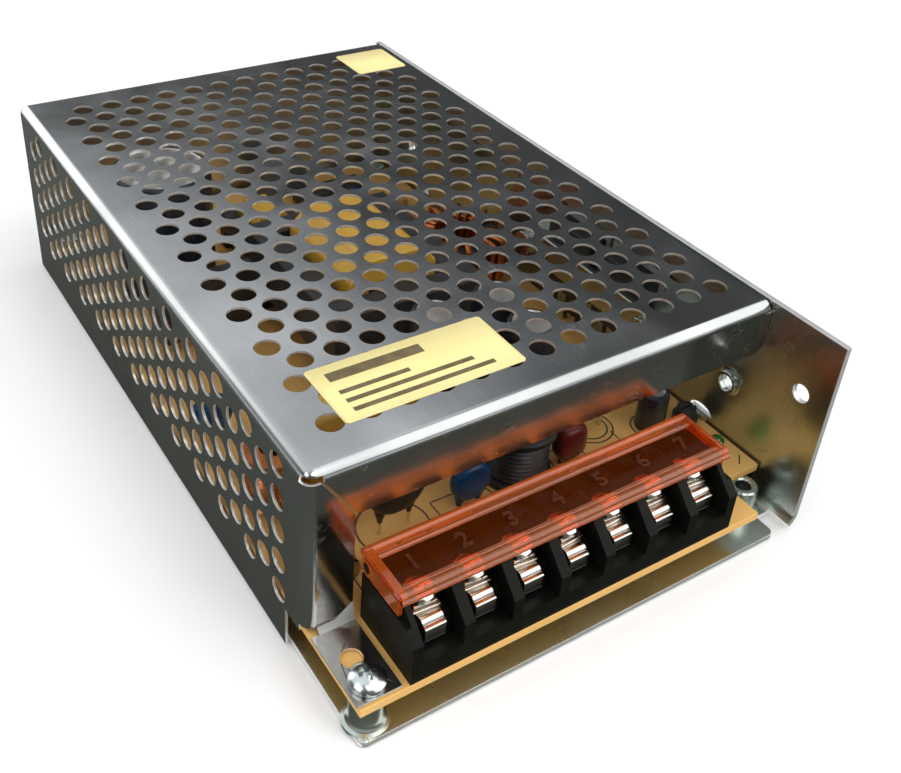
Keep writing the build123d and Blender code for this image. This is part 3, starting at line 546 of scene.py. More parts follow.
def add_cover_faces(work, x0, x1, y0, y1, z1, slit):
    # Flat faces between the bends, whose lines lie at x0, x1, y0, y1 and z1
    outline = [(x0, y0), (slit, y0), (x1, y0), (x1, y1), (x0, y1)]
    holes = [circle(x, y, perforation_radius) for x, y in perforation(first_hole_x, last_hole_x)]
    add_flat(work, outline, plane("z", height), holes)
    outline = [(y0, notch_top), (notch_rear, notch_top), (notch_rear, cover_foot), (y1, cover_foot), (y1, z1),
            (y0, z1)]
    holes = [circle(y, z, perforation_radius) for z, y in perforation(first_wall_hole_z, last_wall_hole_z)]
    add_flat(work, outline, plane("x", left), holes)
    outline = [(x0, cover_foot), (cover_right, cover_foot), (cover_right, z1), (x1, z1), (x0, z1)]
    add_flat(work, outline, plane("y", rear), [circle(x, ear_hole_z, 2.7) for x in ear_xs])
    outline = [(skirt_front, skirt_bottom), (rear, skirt_bottom), (rear, z1), (y1, z1), (y0, z1),
            (skirt_front, z1)]
    add_flat(work, outline, plane("x", cover_right))
    # Lip and return flange, parted by the mitre
    lip = [(slit, z1), (flange_right + mitre_gap, lip_bottom)]
    lip += rounded_corner(cover_right - lip_corner, lip_bottom + lip_corner, lip_corner, -90)
    lip += [(cover_right, z1), (x1, z1)]
    add_flat(work, lip, plane("y", cover_front))
    foot = tab_top + tab_bend
    flange = [(x0, foot), (flange_right, foot), (flange_right, lip_bottom), (mitre_top, z1), (x0, z1)]
    add_flat(work, flange, plane("y", cover_front))


def add_cover_bends(work, x0, x1, y0, y1, z1, slit):
    # Rounds between the faces, and the balls at the corners
    def bend(start, end, first, second, angles=arc()):
        add_bend(work, (start, end), first, second, cover_bend, angles)

    def ball(x, y, across, along, angles=arc()):
        rows = []
        for a in angles:
            out = cover_bend * sin(a)
            z = z1 + cover_bend * cos(a)
            rows.append([(x + across * out * sin(b), y + along * out * cos(b), z) for b in arc()])
        add_rows(work, rows)

    bend((x0, y0, z1), (x0, y1, z1), (0, 0, 1), (-1, 0, 0))
    bend((x1, y0, z1), (x1, y1, z1), (0, 0, 1), (1, 0, 0))
    bend((slit, y0, z1), (x1, y0, z1), (0, 0, 1), (0, -1, 0))
    # The near corner is closed only down to its relief
    upper = arc()[:6]
    bend((x0, y0, z1), (slit, y0, z1), (0, 0, 1), (0, -1, 0), upper)
    ball(x0, y0, -1, -1, upper)
    bend((x0, y1, z1), (x1, y1, z1), (0, 0, 1), (0, 1, 0))
    bend((x0, y1, cover_foot), (x0, y1, z1), (0, 1, 0), (-1, 0, 0))
    bend((x0, y0, tab_top + tab_bend), (x0, y0, z1), (0, -1, 0), (-1, 0, 0))
    ball(x0, y1, -1, 1)
    ball(x1, y1, 1, 1)
    ball(x1, y0, 1, -1)


def make_cover():
    work = bmesh.new()
    x0 = left + cover_bend
    x1 = cover_right - cover_bend
    lines = (x0, x1, cover_front + cover_bend, rear - cover_bend, height - cover_bend, mitre_top + mitre_gap)
    add_cover_faces(work, *lines)
    add_cover_bends(work, *lines)
    weld(work)
    face_outward(work, (0, 10, 20))
    # Tab bent forward from the foot of the flange
    tab_start = len(work.faces)
    tab_rear = cover_front - tab_bend
    ends = [(x, tab_rear, tab_top + tab_bend) for x in (x0, flange_right)]
    add_bend(work, ends, (0, 1, 0), (0, 0, -1), tab_bend, arc(4))
    tab = [(x0, tab_rear), (flange_right, tab_rear), (flange_right, tab_front), (tab_left, tab_front),
            (tab_left, tab_rear)]
    add_flat(work, tab, plane("z", tab_top), [circle(*corner_screw, 1.7), circle(*spare_hole, 1.9)])
    work.faces.ensure_lookup_table()
    face_toward(work.faces[tab_start:], (0, -1, 1))
    weld(work)
    for vert in work.verts:
        # The right edge is folded tighter than the others
        if vert.co.x > x1 and vert.co.z > height - cover_bend - 0.01:
            vert.co.x = cover_right - (cover_right - vert.co.x) * right_bend / cover_bend
    piece = from_work("perforated_cover", work, closed=False)
    # The front lip and flange take the scuffed copy, darker as painted shade
    for face in piece.data.polygons:
        if face.center.y < (cover_front + 0.1) * mm:
            face.material_index = 1
    # The inner side takes a lighter copy of the steel, painted light inside the case
    thicken(piece, ["bright_steel", "scuffed_steel_painted_shade", "inner_steel_painted_light", "cut_edge_painted_highlight"], cover_sheet, 0.12, 2, 2)
    fit(piece, None, ["cover"])


def make_base():
    work = bmesh.new()
    r = base_outer_bend
    low = front + floor_corner
    notch = front + tongue_length
    outline = rounded_corner(base_left + floor_corner, low, floor_corner, 180)
    outline += rounded_corner(tongue_right - floor_corner, low, floor_corner, -90)
    outline += [(tongue_right, notch), (right - r, notch), (right - r, floor_rear), (base_left, floor_rear)]
    hole_radius = boss_radius - base_sheet / 2
    add_flat(work, outline, plane("z", 0), [circle(x, y, hole_radius) for x, y in boss_places])
    # Right wall with its holes, and the bend up to it
    outline = [(notch, r), (front, r), (front, height), (rear, height), (rear, r), (floor_rear, r)]
    holes = [circle(y, tapped_z, tapped_radius) for y in tapped_ys]
    holes.append(circle(*side_hole, side_hole_radius, 32))
    hooks = [round_points(y, hook_z, hook_reach, 0, 180, 12, hook_opening) for y in hook_ys]
    add_flat(work, outline, plane("x", right), holes + hooks)
    # In front of the notch, only the upper part of the bend runs on
    for start, end, angles in ((notch, floor_rear, arc(10)), (front, notch, arc(10)[4:])):
        ends = [(right - r, y, r) for y in (start, end)]
        add_bend(work, ends, (0, 0, -1), (1, 0, 0), r, angles)
    # Ears at the rear that take the cover's screws
    for x in ear_xs:
        outline = rounded_corner(x + 3.5, 6.9, 1.5, 0) + rounded_corner(x - 3.5, 6.9, 1.5, 90)
        outline += [(x - 5, 0), (x + 5, 0)]
        add_flat(work, outline, plane("y", floor_rear), [circle(x, ear_hole_z, thread_radius)])
    weld(work)
    face_outward(work, (0, 0, 22))
    piece = from_work("folded_base", work, closed=False)
    thicken(piece, ["base_zinc", "cut_edge_painted_highlight"], base_sheet, 0.15)
    fit(piece, None, ["chassis"])
    for vert in piece.data.vertices:
        vert.co.x = min(vert.co.x, right * mm)


def make_base_details():
    # Drawn bosses with their bores, collars of the tapped holes and flaps of the board hooks
    work = bmesh.new()
    bore, outer, top = thread_radius, boss_radius, board_bottom
    boss = [(bore, 0.1), (bore, top - 0.3), (bore + 0.3, top)]
    boss += [(outer + out, z) for out, z in ((-0.3, top), (0, top - 0.3), (0, 2.4), (0.15, 1.9), (0.5, 1.4),
            (1.1, base_sheet), (1.1, 0.6), (-0.2, 0.1))]
    boss += boss[:1]
    for x, y in boss_places:
        add_turned(work, boss, at(x, y, 0), 40)
    collar = [(tapped_radius + out, z) for out, z in ((0, -0.1), (0, 2), (0.2, 2.2), (0.7, 2.2), (0.9, 2),
            (0.9, 1.3), (1.35, 1.15), (1.35, 1), (0, -0.1))]
    for y in tapped_ys:
        add_turned(work, collar, at(right - 0.1, y, tapped_z, facing_left), 32)
    for y in hook_ys:
        edge = round_points(y, right + 0.5, hook_reach, -144, 108, 12)
        rows = [[(b, a, z) for a, b in edge] for z in (hook_z - 1.15, hook_z)]
        add_rows(work, rows)
        for row in rows:
            add_face(work, row)
    weld(work)
    fit(from_work("drawn_bosses", work), "base_zinc")


def boxes(spans):
    # Closed boxes, each given by its two corners
    work = bmesh.new()
    for (x0, y0, z0), (x1, y1, z1) in spans:
        add_bar(work, [[(x0, y0, z), (x1, y0, z), (x1, y1, z), (x0, y1, z)] for z in (z0, z1)])
    return from_work("boxes", work)


def combine(piece, other, operation, crossed=False):
    boolean = piece.modifiers.new("combined", "BOOLEAN")
    boolean.object = other
    boolean.operation = operation
    boolean.solver = "EXACT"
    boolean.use_self = crossed
    settle(piece)
    bpy.data.objects.remove(other)


def softened(name, node, radius, finish, slot=None, steps=2, body="case", added=(), cut=()):
    # A solid's own shape with its edges eased
    work = bmesh.new()
    work.from_mesh(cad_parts[node].data)
    bmesh.ops.remove_doubles(work, verts=work.verts, dist=1e-6)
    bmesh.ops.dissolve_limit(work, angle_limit=radians(2), verts=work.verts, edges=work.edges)
    piece = from_work(name, work, 50, closed=False, unit=1)
    if added:
        combine(piece, boxes(added), "UNION")
    if cut:
        combine(piece, boxes(cut), "DIFFERENCE")
    smooth(piece.data, 50)
    ease_edges(piece, radius, steps)
    fit(piece, finish, [node], body)


def screw_head(radius, tall, recess):
    # Domed head with a cross recess, its seat at zero
    work = bmesh.new()
    brim = tall * 0.42
    profile = [(0, 0), (radius - 0.15, 0), (radius, 0.12), (radius, brim)]
    for i in range(1, 8):
        a = radians(90 * i / 8)
        dome = radius * (0.55 * cos(a) + 0.45 * (1 - i / 8))
        profile.append((dome, brim + (tall - brim) * sin(a)))
    add_turned(work, profile + [(0, tall)], at(0, 0, 0), 48)
    head = from_work("head", work)
    cut = bmesh.new()
    for spin in (turned(0), turned(90)):
        rows = []
        for half, wide, z in ((recess * 0.55, 0.3, tall * 0.35), (recess, 0.5, tall + 1)):
            rows.append([spin @ Vector((sx * half, sy * wide, z)) for sx, sy in square])
        add_bar(cut, rows)
    combine(head, from_work("recess", cut), "DIFFERENCE", True)
    mesh = head.data
    bpy.data.objects.remove(head)
    return mesh


def threaded_screw(name, head, x, y, seat, tip, radius, pitch):
    # A head on a shank with a fine thread
    work = bmesh.new()
    root = radius - 0.22
    turns = int((seat - tip) / pitch)
    profile = [(0, tip)]
    for i in range(turns):
        z = tip + (seat - tip) * i / turns
        profile += [(root, z), (radius, z + pitch * 0.4), (radius, z + pitch * 0.6)]
    add_turned(work, profile + [(root, seat), (0, seat)], at(x, y, 0), 16)
    shank = from_work(name, work)
    whole = bmesh.new()
    whole.from_mesh(shank.data)
    top = head.copy()
    # Each head stands at an angle of its own
    turn = (x * 7 + y) % 1.5
    top.transform(Matrix.Translation((x * mm, y * mm, seat * mm)) @ Matrix.Rotation(turn, 4, "Z"))
    whole.from_mesh(top)
    whole.to_mesh(shank.data)
    whole.free()
    smooth(shank.data, 35)
    return shank


def make_screws():
    small_head = screw_head(2.8, 2, 1.7)
    for i, x in enumerate(cell_xs):
        piece = threaded_screw(f"clamp_screw_{i + 1}", small_head, x, terminal_y, washer_top, 13.1, 1.5, 0.7)
        fit(piece, "nickel", [f"terminal_screw_{i + 1}"], f"screw_{i + 1}")
    large_head = screw_head(3.1, 2.2, 1.9)
    piece = threaded_screw("cover_screw", large_head, *corner_screw, tab_top, base_sheet, 1.4, 0.5)
    fit(piece, "screw_zinc", ["corner_screw"])


def make_terminals():
    # Block, its rear wall closed between the cells and with a window behind each
    filled = [((x + 3, -67.6, 9.5), (x + 6.5, -63.95, 20.6)) for x in cell_xs[:-1]]
    windows = [((x - 1.9, -67.8, 13.4), (x + 1.9, -65.2, 20.9)) for x in cell_xs]
    windows += [((x - 1.9, -65.3, 13.4), (x + 1.9, -63, 18.4)) for x in cell_xs]
    softened("terminal_body", "terminal_block", 0.22, "block_black", added=filled, cut=windows)
    work = bmesh.new()
    for x in cell_xs:
        add_contact(work, x)
    piece = ease_edges(from_work("contact_plates", work, 40), 0.12)
    fit(piece, "nickel", ["terminal_contacts"])
    # Square clamp washers, each dished a little
    work = bmesh.new()
    random.seed(4)
    for x in cell_xs:
        for i, half in enumerate((2.6, 2.2)):
            z = contact_z + 0.7 * i
            place = at(x, terminal_y - 0.3, 0) @ turned(random.uniform(-6, 6))
            rows = []
            for share, level in ((0.94, 0.05), (1, 0.2), (1, 0.45), (0.94, 0.6)):
                size = half * share
                rows.append([place @ Vector((sx * size, sy * size, z + level)) for sx, sy in square])
            add_bar(work, rows)
    piece = ease_edges(from_work("clamp_washers", work), 0.1)
    fit(piece, "nickel", ["terminal_washers"])


def add_contact(work, x):
    # Plate under the washers, its narrow end bent down over the ledge and curled at the tip
    narrow_from = -74.6
    outer = [(-67.6, contact_z), (-75, contact_z)]
    outer += [(-75 - sin(a), contact_z - 1 + cos(a)) for a in arc(5)[1:]]
    outer += [(-76, 15.1)]
    outer += [(-76.6 + 0.6 * cos(a), 15.1 - 0.6 * sin(a)) for a in arc(4)[1:]]
    rows = []
    for i, (y, z) in enumerate(outer):
        ay, az = outer[max(i - 1, 0)]
        by, bz = outer[min(i + 1, len(outer) - 1)]
        share = contact_thickness / hypot(by - ay, bz - az)
        v, w = y + (bz - az) * share, z + (by - ay) * share
        half = 2.8 if y > narrow_from else 1.95
        rows.append([(x - half, y, z), (x + half, y, z), (x + half, v, w), (x - half, v, w)])
    add_bar(work, rows)


def make_lid():
    low, high = box_of("terminal_cover")
    y0, y1 = low.y, high.y
    profile = [(y0 + 0.35, lid_under), (y0, lid_under + 0.35), (y0, 23.15), (y0 + 0.3, 23.35)]
    # Rolled ridges, taken from the front to the rear
    profile += round_points(y0 + 1.25, 23.45, 0.82, 180, -180, 8)
    profile += round_points(y0 + 2.5, 23.4, 0.36, 180, -180, 5)
    profile += [(y0 + 3.2, lid_field), (y1 - 3.4, lid_field)]
    profile += round_points(y1 - 2.75, 23.4, 0.45, 180, -180, 6)
    profile += [(y1 - 2.1, 23.1)]
    profile += round_points(y1 - 0.9, 23.5, 0.8, 180, -180, 8)
    profile += [(y1, 23.2), (y1, lid_under + 0.3), (y1 - 0.3, lid_under)]
    work = bmesh.new()
    add_bar(work, [[(x, y, z) for y, z in profile] for x in (low.x + 0.1, high.x - 0.1)])
    piece = ease_edges(from_work("see_through_cover", work, 40), 0.08)
    fit(piece, "lid_orange", ["terminal_cover"], "hinged_cover")
    # Ridges take the lighter copy of the plastic, painted light; the field keeps the darker one
    piece.data.materials.append(looks["lid_rim_painted_light"])
    for face in piece.data.polygons:
        field = y0 + 3.1 < face.center.y / mm < y1 - 3.3
        face.material_index = 0 if field else 1
    # End walls with the eyes of the hinge, and the rims over them
    work = bmesh.new()
    outline = [(y0 + 1.2, lid_under + 0.2), (y0 + 1.2, 19.6), (-66.4, 19.5)]
    outline += round_points(hinge_y, hinge_z, 1.7, -120, 180, 12) + [(hinge_y, lid_under + 0.2)]
    eye = circle(hinge_y, hinge_z, 0.97, 20)
    rim = [(y0 + 1, 23), (y0 + 1, 23.9), (y0 + 1.4, 24.15),
            (y1 - 1.2, 24.15), (y1 - 0.8, 23.9), (y1 - 0.8, 23)]
    for x0, x1, over in ((low.x, low.x + lid_end, 0.6), (high.x - lid_end, high.x, 0)):
        for x in (x0, x1):
            add_flat(work, outline, plane("x", x), [eye])
        for points in (outline, eye):
            add_rows(work, [[(x, y, z) for y, z in points] for x in (x0, x1)], closed=True)
        add_bar(work, [[(x, y, z) for y, z in rim] for x in (x0 + 0.02, x1 + over)])
    weld(work)
    piece = ease_edges(from_work("cover_ends", work, 40), 0.1)
    # The ends take the lighter copy too, painted light
    fit(piece, "lid_rim_painted_light", (), "hinged_cover")
    for i, x in enumerate(cell_xs):
        # Raised figures over the cells
        letters = bpy.data.curves.new(f"figure_{i + 1}", "FONT")
        letters.body = str(i + 1)
        letters.size = 4.4 * mm
        letters.extrude = 0.12 * mm
        letters.bevel_depth = 0.06 * mm
        letters.align_x = "CENTER"
        letters.align_y = "CENTER"
        mesh = bpy.data.meshes.new_from_object(bpy.data.objects.new(f"figure_{i + 1}", letters))
        mesh.transform(Matrix.Translation((x * mm, -69.3 * mm, (lid_field + 0.08) * mm)))
        fit(new_piece(f"raised_figure_{i + 1}", mesh), "lid_frost", (), "hinged_cover")


def add_lead_pair(work, x, y, spread, z_top):
    for lead in (x - spread, x + spread):
        add_wire(work, [(lead, y, board_top), (lead, y, z_top)], lead_radius)


def coated_disc(name, x, y, radius, thickness, lift, finish, slot, nodes):
    # Dipped disc on edge, with two leads and the drips of its coating
    work = bmesh.new()
    half = thickness / 2
    profile = [(0, -half), (radius * 0.7, -half)]
    for i in range(1, 8):
        a = radians(-90 + 180 * i / 8)
        profile.append((radius - half * (1 - cos(a)) * 0.8, half * sin(a)))
    profile += [(radius * 0.7, half), (0, half)]
    add_turned(work, profile, at(x, y, board_top + lift + radius, facing_front), 48)
    for lead in (x - radius / 2, x + radius / 2):
        drip = [(0, 0), (0.42, 0), (0.62, 0.9), (1, 2.2), (1.1, 3.4), (0, 3.6)]
        add_turned(work, drip, at(lead, y, board_top + lift - 1.6), 16)
    fit(from_work(name, work, 50), finish, nodes)
    leads = bmesh.new()
    add_lead_pair(leads, x, y, radius / 2, board_top + lift)
    fit(from_work(name + "_leads", leads), "tinned")


def make_front_parts():
    # Discs: place, radius, thickness, height over the board, finish, slot and solids
    for row in [
        ("surge_disc", -24, -49.5, 6, 3.4, 4.4, "satin_black", "part_black", ["thermistor"]),
        ("blue_disc_front", -8.5, -50.5, 4.2, 3.2, 1.2, "disc_blue", "disc_blue", ["disc_capacitors"]),
        ("blue_disc_left", -42.5, -13, 4.2, 3.2, 3, "disc_blue", "disc_blue", []),
        ("blue_disc_rear", 21, 44, 4.8, 3.2, 3, "disc_blue", "disc_blue", []),
    ]:
        coated_disc(*row)
    # Drum choke: dark wire between two flanges
    r = 7
    profile = [(0, 0), (r - 0.3, 0), (r, 0.3), (r, 1.1), (r - 0.3, 1.4)]
    for i in range(9):
        profile += [(5.5, 1.5 + i), (6, 2 + i)]
    profile += [(5.5, 10.5), (r - 0.3, 10.6), (r, 10.9), (r, 11.7), (r - 0.4, 12), (2.2, 12), (1.8, 11.2),
            (0, 11.2)]
    turned_piece("drum_choke", profile, at(4, -48, board_top), "satin_black", ["line_choke"])
    # Dipped film capacitor: a box rounded by pulling its points in
    work = bmesh.new()
    x, y = 14.6, -50.5
    middle = Vector((x, y, board_top + 5.3))
    half = Vector((3.2, 2.3, 3.8))
    bmesh.ops.create_cube(work, size=1)
    bmesh.ops.scale(work, vec=half * 2, verts=work.verts)
    bmesh.ops.translate(work, vec=middle, verts=work.verts)
    bmesh.ops.subdivide_edges(work, edges=work.edges[:], cuts=3, use_grid_fill=True)
    for v in work.verts:
        p = v.co - middle
        size = sum(abs(a / b) ** 4 for a, b in zip(p, half)) ** 0.25
        v.co = middle + p / max(size, 1)
    add_lead_pair(work, x, y, 1.6, board_top + 2.5)
    fit(from_work("dipped_capacitor", work, 60), "dip_red", ["drop_capacitor"])
    # Bare shunt wire, bent down into the board
    work = bmesh.new()
    x0, x1, y = 19.6, 27.4, -45
    top = board_top + 2.8
    add_wire(work, [(x0, y, board_top), (x0, y, top), (x1, y, top), (x1, y, board_top)], 0.6, 14, 1.2)
    fit(from_work("shunt_bridge", work, 60), "tinned", ["shunt_wire"])


def make_cans():
    # Place, radius, height and solids of each can
    for name, x, y, radius, tall, nodes in [
        ("bulk_can", -29, 43, 11, 30.2, ["bulk_capacitor"]),
        ("output_can_1", -0.4, -24.6, 5, 24, ["output_capacitors"]),
        ("output_can_2", 14.2, -24.6, 5, 24, []),
        ("output_can_3", 14.2, -36, 5, 24, []),
        ("small_can", 36, -50.5, 3, 9, ["small_capacitor"]),
    ]:
        place = at(x, y, board_top)
        rim = radius - 1.1
        # Sleeve folded over the rim, with a rolled groove in the larger cans
        profile = [(0, 0), (radius - 0.5, 0), (radius - 0.1, 0.3), (radius, 0.8)]
        if radius > 4:
            profile += [(radius, 1.9), (radius - 0.5, 2.5), (radius - 0.5, 2.9), (radius, 3.5)]
        profile += [(radius, tall - 0.9), (radius - 0.15, tall - 0.35), (radius - 0.55, tall - 0.05),
                (rim, tall)]
        turned_piece(name, profile, place, "sleeve_black", nodes)
        # Bare metal end with a crossed vent
        work = bmesh.new()
        add_turned(work, [(rim, tall), (rim - 0.25, tall - 0.25), (0, tall - 0.3)], place, 48)
        for spin in (turned(20), turned(110)):
            corners = [spin @ Vector((sx * rim * 0.62, sy * 0.12, 0)) for sx, sy in square]
            add_face(work, [at(x, y, board_top + tall - 0.27) @ p for p in corners])
        fit(from_work(name + "_end", work, closed=False), "can_top")


def make_small_turned():
    # Trimmer
    profile = [(0, 0), (2.5, 0), (2.6, 0.1), (2.6, 2.05), (2.45, 2.2), (0, 2.2)]
    turned_piece("trimmer_case", profile, at(43.4, -53, board_top), "satin_black",
            ["trimmer_body"], 40)
    softened("trimmer_dial", "trimmer_rotor", 0.12, "satin_black", "part_black", body="rotor")
    # Power light
    profile = [(0, 0), (1.75, 0), (1.75, 0.8), (1.5, 0.9), (1.5, 3.5)]
    profile += round_points(0, 3.5, 1.5, 10, 70, 7, 1.45) + [(0, 4.95)]
    turned_piece("signal_light", profile, at(41.3, -63.5, board_top), "light_green",
            ["power_light"], 32)
    # Fuse: plated caps on a glass tube
    x, y, z = -38, -48, board_top + 4
    place = at(x, y, z, facing_front)
    profile = [(2.2, -5), (2.25, 0), (2.2, 5)]
    turned_piece("fuse_tube", profile, place, "tube_glass", ["fuse"], 32)
    work = bmesh.new()
    for side in (-1, 1):
        a, b = side * 4.5, side * 10
        cap = [(0, a), (2.45, a), (2.6, a + side * 0.2), (2.6, b - side * 0.3), (2.3, b), (0, b)]
        add_turned(work, cap, place, 32)
        lead = y - side * 7.25
        add_wire(work, [(x, lead, z - 2.2), (x, lead, board_top)], lead_radius)
    fit(from_work("fuse_caps", work), "nickel")


def add_winding(work, x, y, z, inner, outer, tall, turns, wire):
    # Heavy wire laid round a ring core, turn beside turn
    points = []
    squareness = 1.4
    share_of_ring = 0.93
    middle = (inner + outer) / 2
    for i in range(turns):
        for k in range(16):
            t = (i + k / 16) / turns * tau * share_of_ring
            a = tau * k / 16
            reach, rise = [max(-1, min(1, v * squareness)) for v in (cos(a), sin(a))]
            radius = middle + (outer - inner) / 2 * reach
            points.append((x + radius * cos(t), y + radius * sin(t), z + tall / 2 * rise))
    add_wire(work, points, wire, 8)


def make_wound_parts():
    # Output ring and its copper winding
    x, y = 33.6, 16.6
    profile = [(7, 2.2), (7.4, 1.8), (9.9, 1.8), (10.3, 2.2), (10.3, 10.8), (9.9, 11.2), (7.4, 11.2)]
    profile += [(7, 10.8), (7, 2.2)]
    turned_piece("ring_core", profile, at(x, y, board_top), "ferrite", ["output_ring"])
    work = bmesh.new()
    add_winding(work, x, y, board_top + 6.5, 6, 11.3, 11.2, 19, 0.8)
    fit(from_work("ring_winding", work, 60), "copper", ["output_winding"])
    # Upright line coil
    profile = [(2.5, 0.3)]
    for i in range(11):
        profile += [(5.6, 0.6 + i), (6, 1.1 + i)]
    profile += [(5.6, 11.7), (2.5, 11.8), (2.5, 0.3)]
    turned_piece("line_coil_turns", profile, at(-39, -32, board_top), "copper",
            ["line_coil"], 40, 50)


def make_inner_parts():
    # Solids with their edges eased: how much, finish, slot and steps
    for row in [
        ("main_winding", "transformer_winding", 1, "tape_yellow", "tape_yellow", 3),
        ("main_core", "transformer_core", 0.4, "ferrite"),
        ("main_rails", "transformer_rails", 0.3, "satin_black", "rail_black"),
        ("driver_coil", "driver_winding", 0.6, "tape_yellow", "tape_yellow", 3),
        ("driver_core_halves", "driver_core", 0.3, "ferrite"),
        ("driver_rail_pair", "driver_rails", 0.3, "satin_black", "rail_black"),
        ("line_capacitor_case", "line_capacitor", 0.4, "case_yellow"),
        ("bridge_case", "bridge_rectifier", 0.3, "satin_black", "part_black"),
        ("device_cases", "power_devices", 0.3, "satin_black", "part_black"),
        ("thermal_pads", "insulating_pads", 0.05, "pad_grey"),
        ("clamp", "clamp_bar", 0.3, "base_zinc", "clamp_zinc"),
        ("clamp_screw_pair", "clamp_screws", 0.3, "screw_zinc"),
        ("control_circuit", "control_chip", 0.15, "satin_black", "part_black"),
        ("film_case", "film_capacitor", 0.3, "case_grey"),
        ("resistor_bodies", "resistors", 0.5, "lacquer_tan", "body_tan", 3),
        ("jumper_bridges", "jumper_wires", 0.2, "tinned", "bare_wire"),
        ("board_screw_pair", "board_screws", 0.25, "screw_zinc"),
        ("rear_screw_pair", "rear_screws", 0.1, "screw_zinc"),
    ]:
        softened(*row)


def add_printed_line(work, z, points):
    # Printed line of even width through points
    half = 0.15
    sides = []
    for i, (x, y) in enumerate(points):
        ax, ay = points[max(i - 1, 0)]
        bx, by = points[min(i + 1, len(points) - 1)]
        share = half / hypot(bx - ax, by - ay)
        nx, ny = -(by - ay) * share, (bx - ax) * share
        sides.append(((x + nx, y + ny, z), (x - nx, y - ny, z)))
    add_face(work, [a for a, b in sides] + [b for a, b in reversed(sides)])


def make_board():
    softened("board", "circuit_board", 0.1, "board_tan")
    # Rings, boxes and lines printed round the parts at its front
    work = bmesh.new()
    z = board_top + 0.02
    for x, y, radius in ((25, -45, 5), (25, -45, 3.8), (4, -48, 8), (36, -50.5, 3.8), (-24, -49.5, 7)):
        rings = [circle(x, y, size, 40) for size in (radius, radius - 0.35)]
        add_rows(work, [[(a, b, z) for a, b in ring] for ring in rings], closed=True)
    for x0, y0, x1, y1 in ((-15, -53, -2, -47.5), (10, -54, 19, -47), (-36, -60, -31, -55),
            (18, -62, 26, -58), (29, -61, 35, -57.5)):
        corners = [(x0, y0), (x1, y0), (x1, y1), (x0, y1)]
        for a, b in zip(corners, corners[1:] + corners[:1]):
            add_printed_line(work, z, (a, b))
    add_printed_line(work, z, ((-30, -61), (-27, -55.5), (-33, -55.5), (-30, -61)))
    lines = [(38, -45, 44, -45), (38, -47, 44, -47), (-14, -60, -4, -60),
            (28, -54, 28, -48), (44, -68, 46, -66), (20, -56.5, 26, -56.5)]
    lines += [(x - 3, -62.2, x + 3, -62.2) for x in cell_xs]
    for x0, y0, x1, y1 in lines:
        add_printed_line(work, z, ((x0, y0), (x1, y1)))
    face_toward(work.faces, (0, 0, 1))
    fit(from_work("board_print", work, closed=False), "print_dark")


def make_labels():
    # Bare yellow labels, the front one with plain bars
    corner = 0.8
    for name, node in (("front_label", "front_sticker"), ("seal_label", "seal_sticker")):
        low, high = box_of(node)
        work = bmesh.new()
        x0, y0, x1, y1 = low.x + corner, low.y + corner, high.x - corner, high.y - corner
        outline = []
        for i, (x, y) in enumerate(((x1, y1), (x0, y1), (x0, y0), (x1, y0))):
            outline += rounded_corner(x, y, corner, 90 * i, 4)
        add_flat(work, outline, plane("z", high.z - 0.02))
        face_outward(work, (low.x, low.y, 0))
        piece = from_work(name, work, closed=False)
        solid = piece.modifiers.new("paper", "SOLIDIFY")
        solid.thickness = 0.07 * mm
        solid.offset = -1
        fit(settle(piece), "paper_yellow", [node])
    work = bmesh.new()
    low, high = box_of("front_sticker")
    size = high - low
    # Bars by their shares of the front label's width and depth
    for x0, y0, x1, y1 in ((0.08, 0.7, 0.6, 0.86), (0.08, 0.46, 0.46, 0.53), (0.08, 0.3, 0.78, 0.37),
            (0.08, 0.14, 0.86, 0.21)):
        corners = ((x0, y0), (x1, y0), (x1, y1), (x0, y1))
        add_face(work, [(low.x + x * size.x, low.y + y * size.y, high.z - 0.01) for x, y in corners])
    fit(from_work("label_bars", work, closed=False), "print_brown")


def add_stage_sheet(name, points, faces, paint, colour, **sockets):
    # Flat sheet of one plain, dull colour for the stage
    mesh = bpy.data.meshes.new(name)
    mesh.from_pydata(points, [], faces)
    finish = bpy.data.materials.new(paint)
    finish.use_nodes = True
    tree = finish.node_tree
    feed(tree, tree.nodes["Principled BSDF"], {"Base Color": (*colour, 1), "Roughness": 0.9, **sockets})
    mesh.materials.append(finish)
    return new_piece(name, mesh)


def make_floor():
    half = 4
    points = [(x * half, y * half, 0) for x, y in square]
    floor = add_stage_sheet("floor", points, [(0, 1, 2, 3)], "floor_white", (0.93, 0.93, 0.93),
            Specular_IOR_Level=0)
    floor.location.z = -0.0002


def make_painted_shade_card():
    # Painted shade: a dark card round the object, which only shiny surfaces see, so that the metal mirrors a
    # shaded floor beside it
    reach = 0.32
    lift = 0.0002
    inner = [(x * right * mm, y * rear * mm) for x, y in square]
    points = [(x * 0.995, y * 0.995, lift) for x, y in inner]
    points += [(x + copysign(reach, x), y + copysign(reach, y), lift) for x, y in inner]
    faces = [(i, (i + 1) % 4, 4 + (i + 1) % 4, 4 + i) for i in range(4)]
    card = add_stage_sheet("painted_shade_card", points, faces, "painted_shade_black", (0.085, 0.09, 0.075))
    for ray in ("camera", "diffuse", "shadow", "transmission"):
        setattr(card, "visible_" + ray, False)


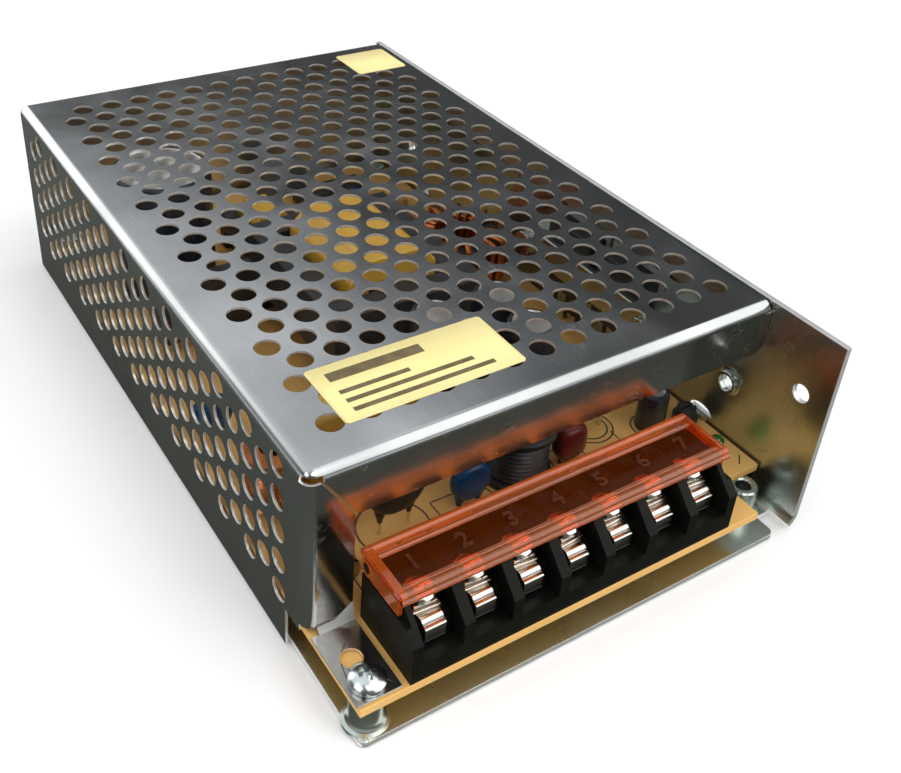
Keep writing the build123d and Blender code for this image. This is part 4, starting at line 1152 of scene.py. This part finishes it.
def make_world():
    # Dim room with a pale horizon and three large soft panels
    world = bpy.data.worlds.new("studio")
    bpy.context.scene.world = world
    world.use_nodes = True
    tree = world.node_tree
    where = add_node(tree, "TexCoord")["Generated"]
    parts = add_node(tree, "SeparateXYZ", Vector=where)
    ramp = tree.nodes.new("ShaderNodeValToRGB")
    stops = [(0, 0.9), (0.1, 0.6), (0.24, 0.08), (1, 0.08)]
    for i, (place, level) in enumerate(stops):
        stop = ramp.color_ramp.elements[i] if i < 2 else ramp.color_ramp.elements.new(place)
        stop.position = place
        stop.color = (level, level * 1.01, level * 1.02, 1)
    feed(tree, ramp, {"Fac": parts["Z"]})
    light = ramp.outputs["Color"]
    # Panels: turn and rise, half width and soft edge in degrees, and colour
    for turn, rise, spread, edge, colour in [
        (-15, 60, 38, 4, (1.06, 1.08, 1.12)),
        (125, 42, 37, 3, (2, 2, 1.98)),
        (-17, 18, 21, 3, (2.3, 2.3, 2.25)),
    ]:
        a, b = radians(turn), radians(rise)
        middle = (sin(a) * cos(b), cos(a) * cos(b), sin(b))
        toward = add_node(tree, "VectorMath", where, middle, operation="DOT_PRODUCT")
        inside = add_node(tree, "MapRange", interpolation_type="SMOOTHSTEP", Value=toward["Value"],
                From_Min=cos(radians(spread + edge)), From_Max=cos(radians(spread - edge)))
        mix = add_node(tree, "Mix", data_type="RGBA", Factor=inside["Result"], A=light, B=(*colour, 1))
        light = mix["Result"]
    feed(tree, tree.nodes["Background"], {"Color": light})


def add_lamp(name, place, target, size, power):
    lamp = bpy.data.lights.new(name, "AREA")
    lamp.shape = "RECTANGLE"
    lamp.size, lamp.size_y = size
    lamp.energy = power
    holder = new_piece(name, lamp)
    holder.location = place
    holder.rotation_euler = (Vector(target) - Vector(place)).to_track_quat("-Z", "Y").to_euler()


def make_camera():
    camera = bpy.data.cameras.new("camera")
    camera.sensor_width = 36
    camera.lens = 44.567
    camera.shift_x = 0.0409
    camera.shift_y = -0.1166
    camera.clip_start = 0.01
    camera.clip_end = 20
    holder = new_piece("camera", camera)
    holder.location = (-0.10394, -0.16842, 0.1533)
    holder.rotation_euler = [radians(a) for a in (57.186, -3.077, -32.247)]
    bpy.context.scene.camera = holder


make_cover()
make_base()
make_base_details()
make_board()
make_terminals()
make_screws()
make_lid()
make_front_parts()
make_cans()
make_small_turned()
make_wound_parts()
make_inner_parts()
make_labels()
make_floor()
make_painted_shade_card()
make_world()
make_camera()
add_lamp("front_above", (-0.05, -0.56, 0.86), (0, -0.03, 0.02), (0.6, 0.5), 2.6)
add_lamp("left_above", (-0.75, -0.1, 0.66), (0, 0, 0.02), (0.6, 0.5), 2.4)
bpy.context.scene.view_settings.view_transform = "Standard"
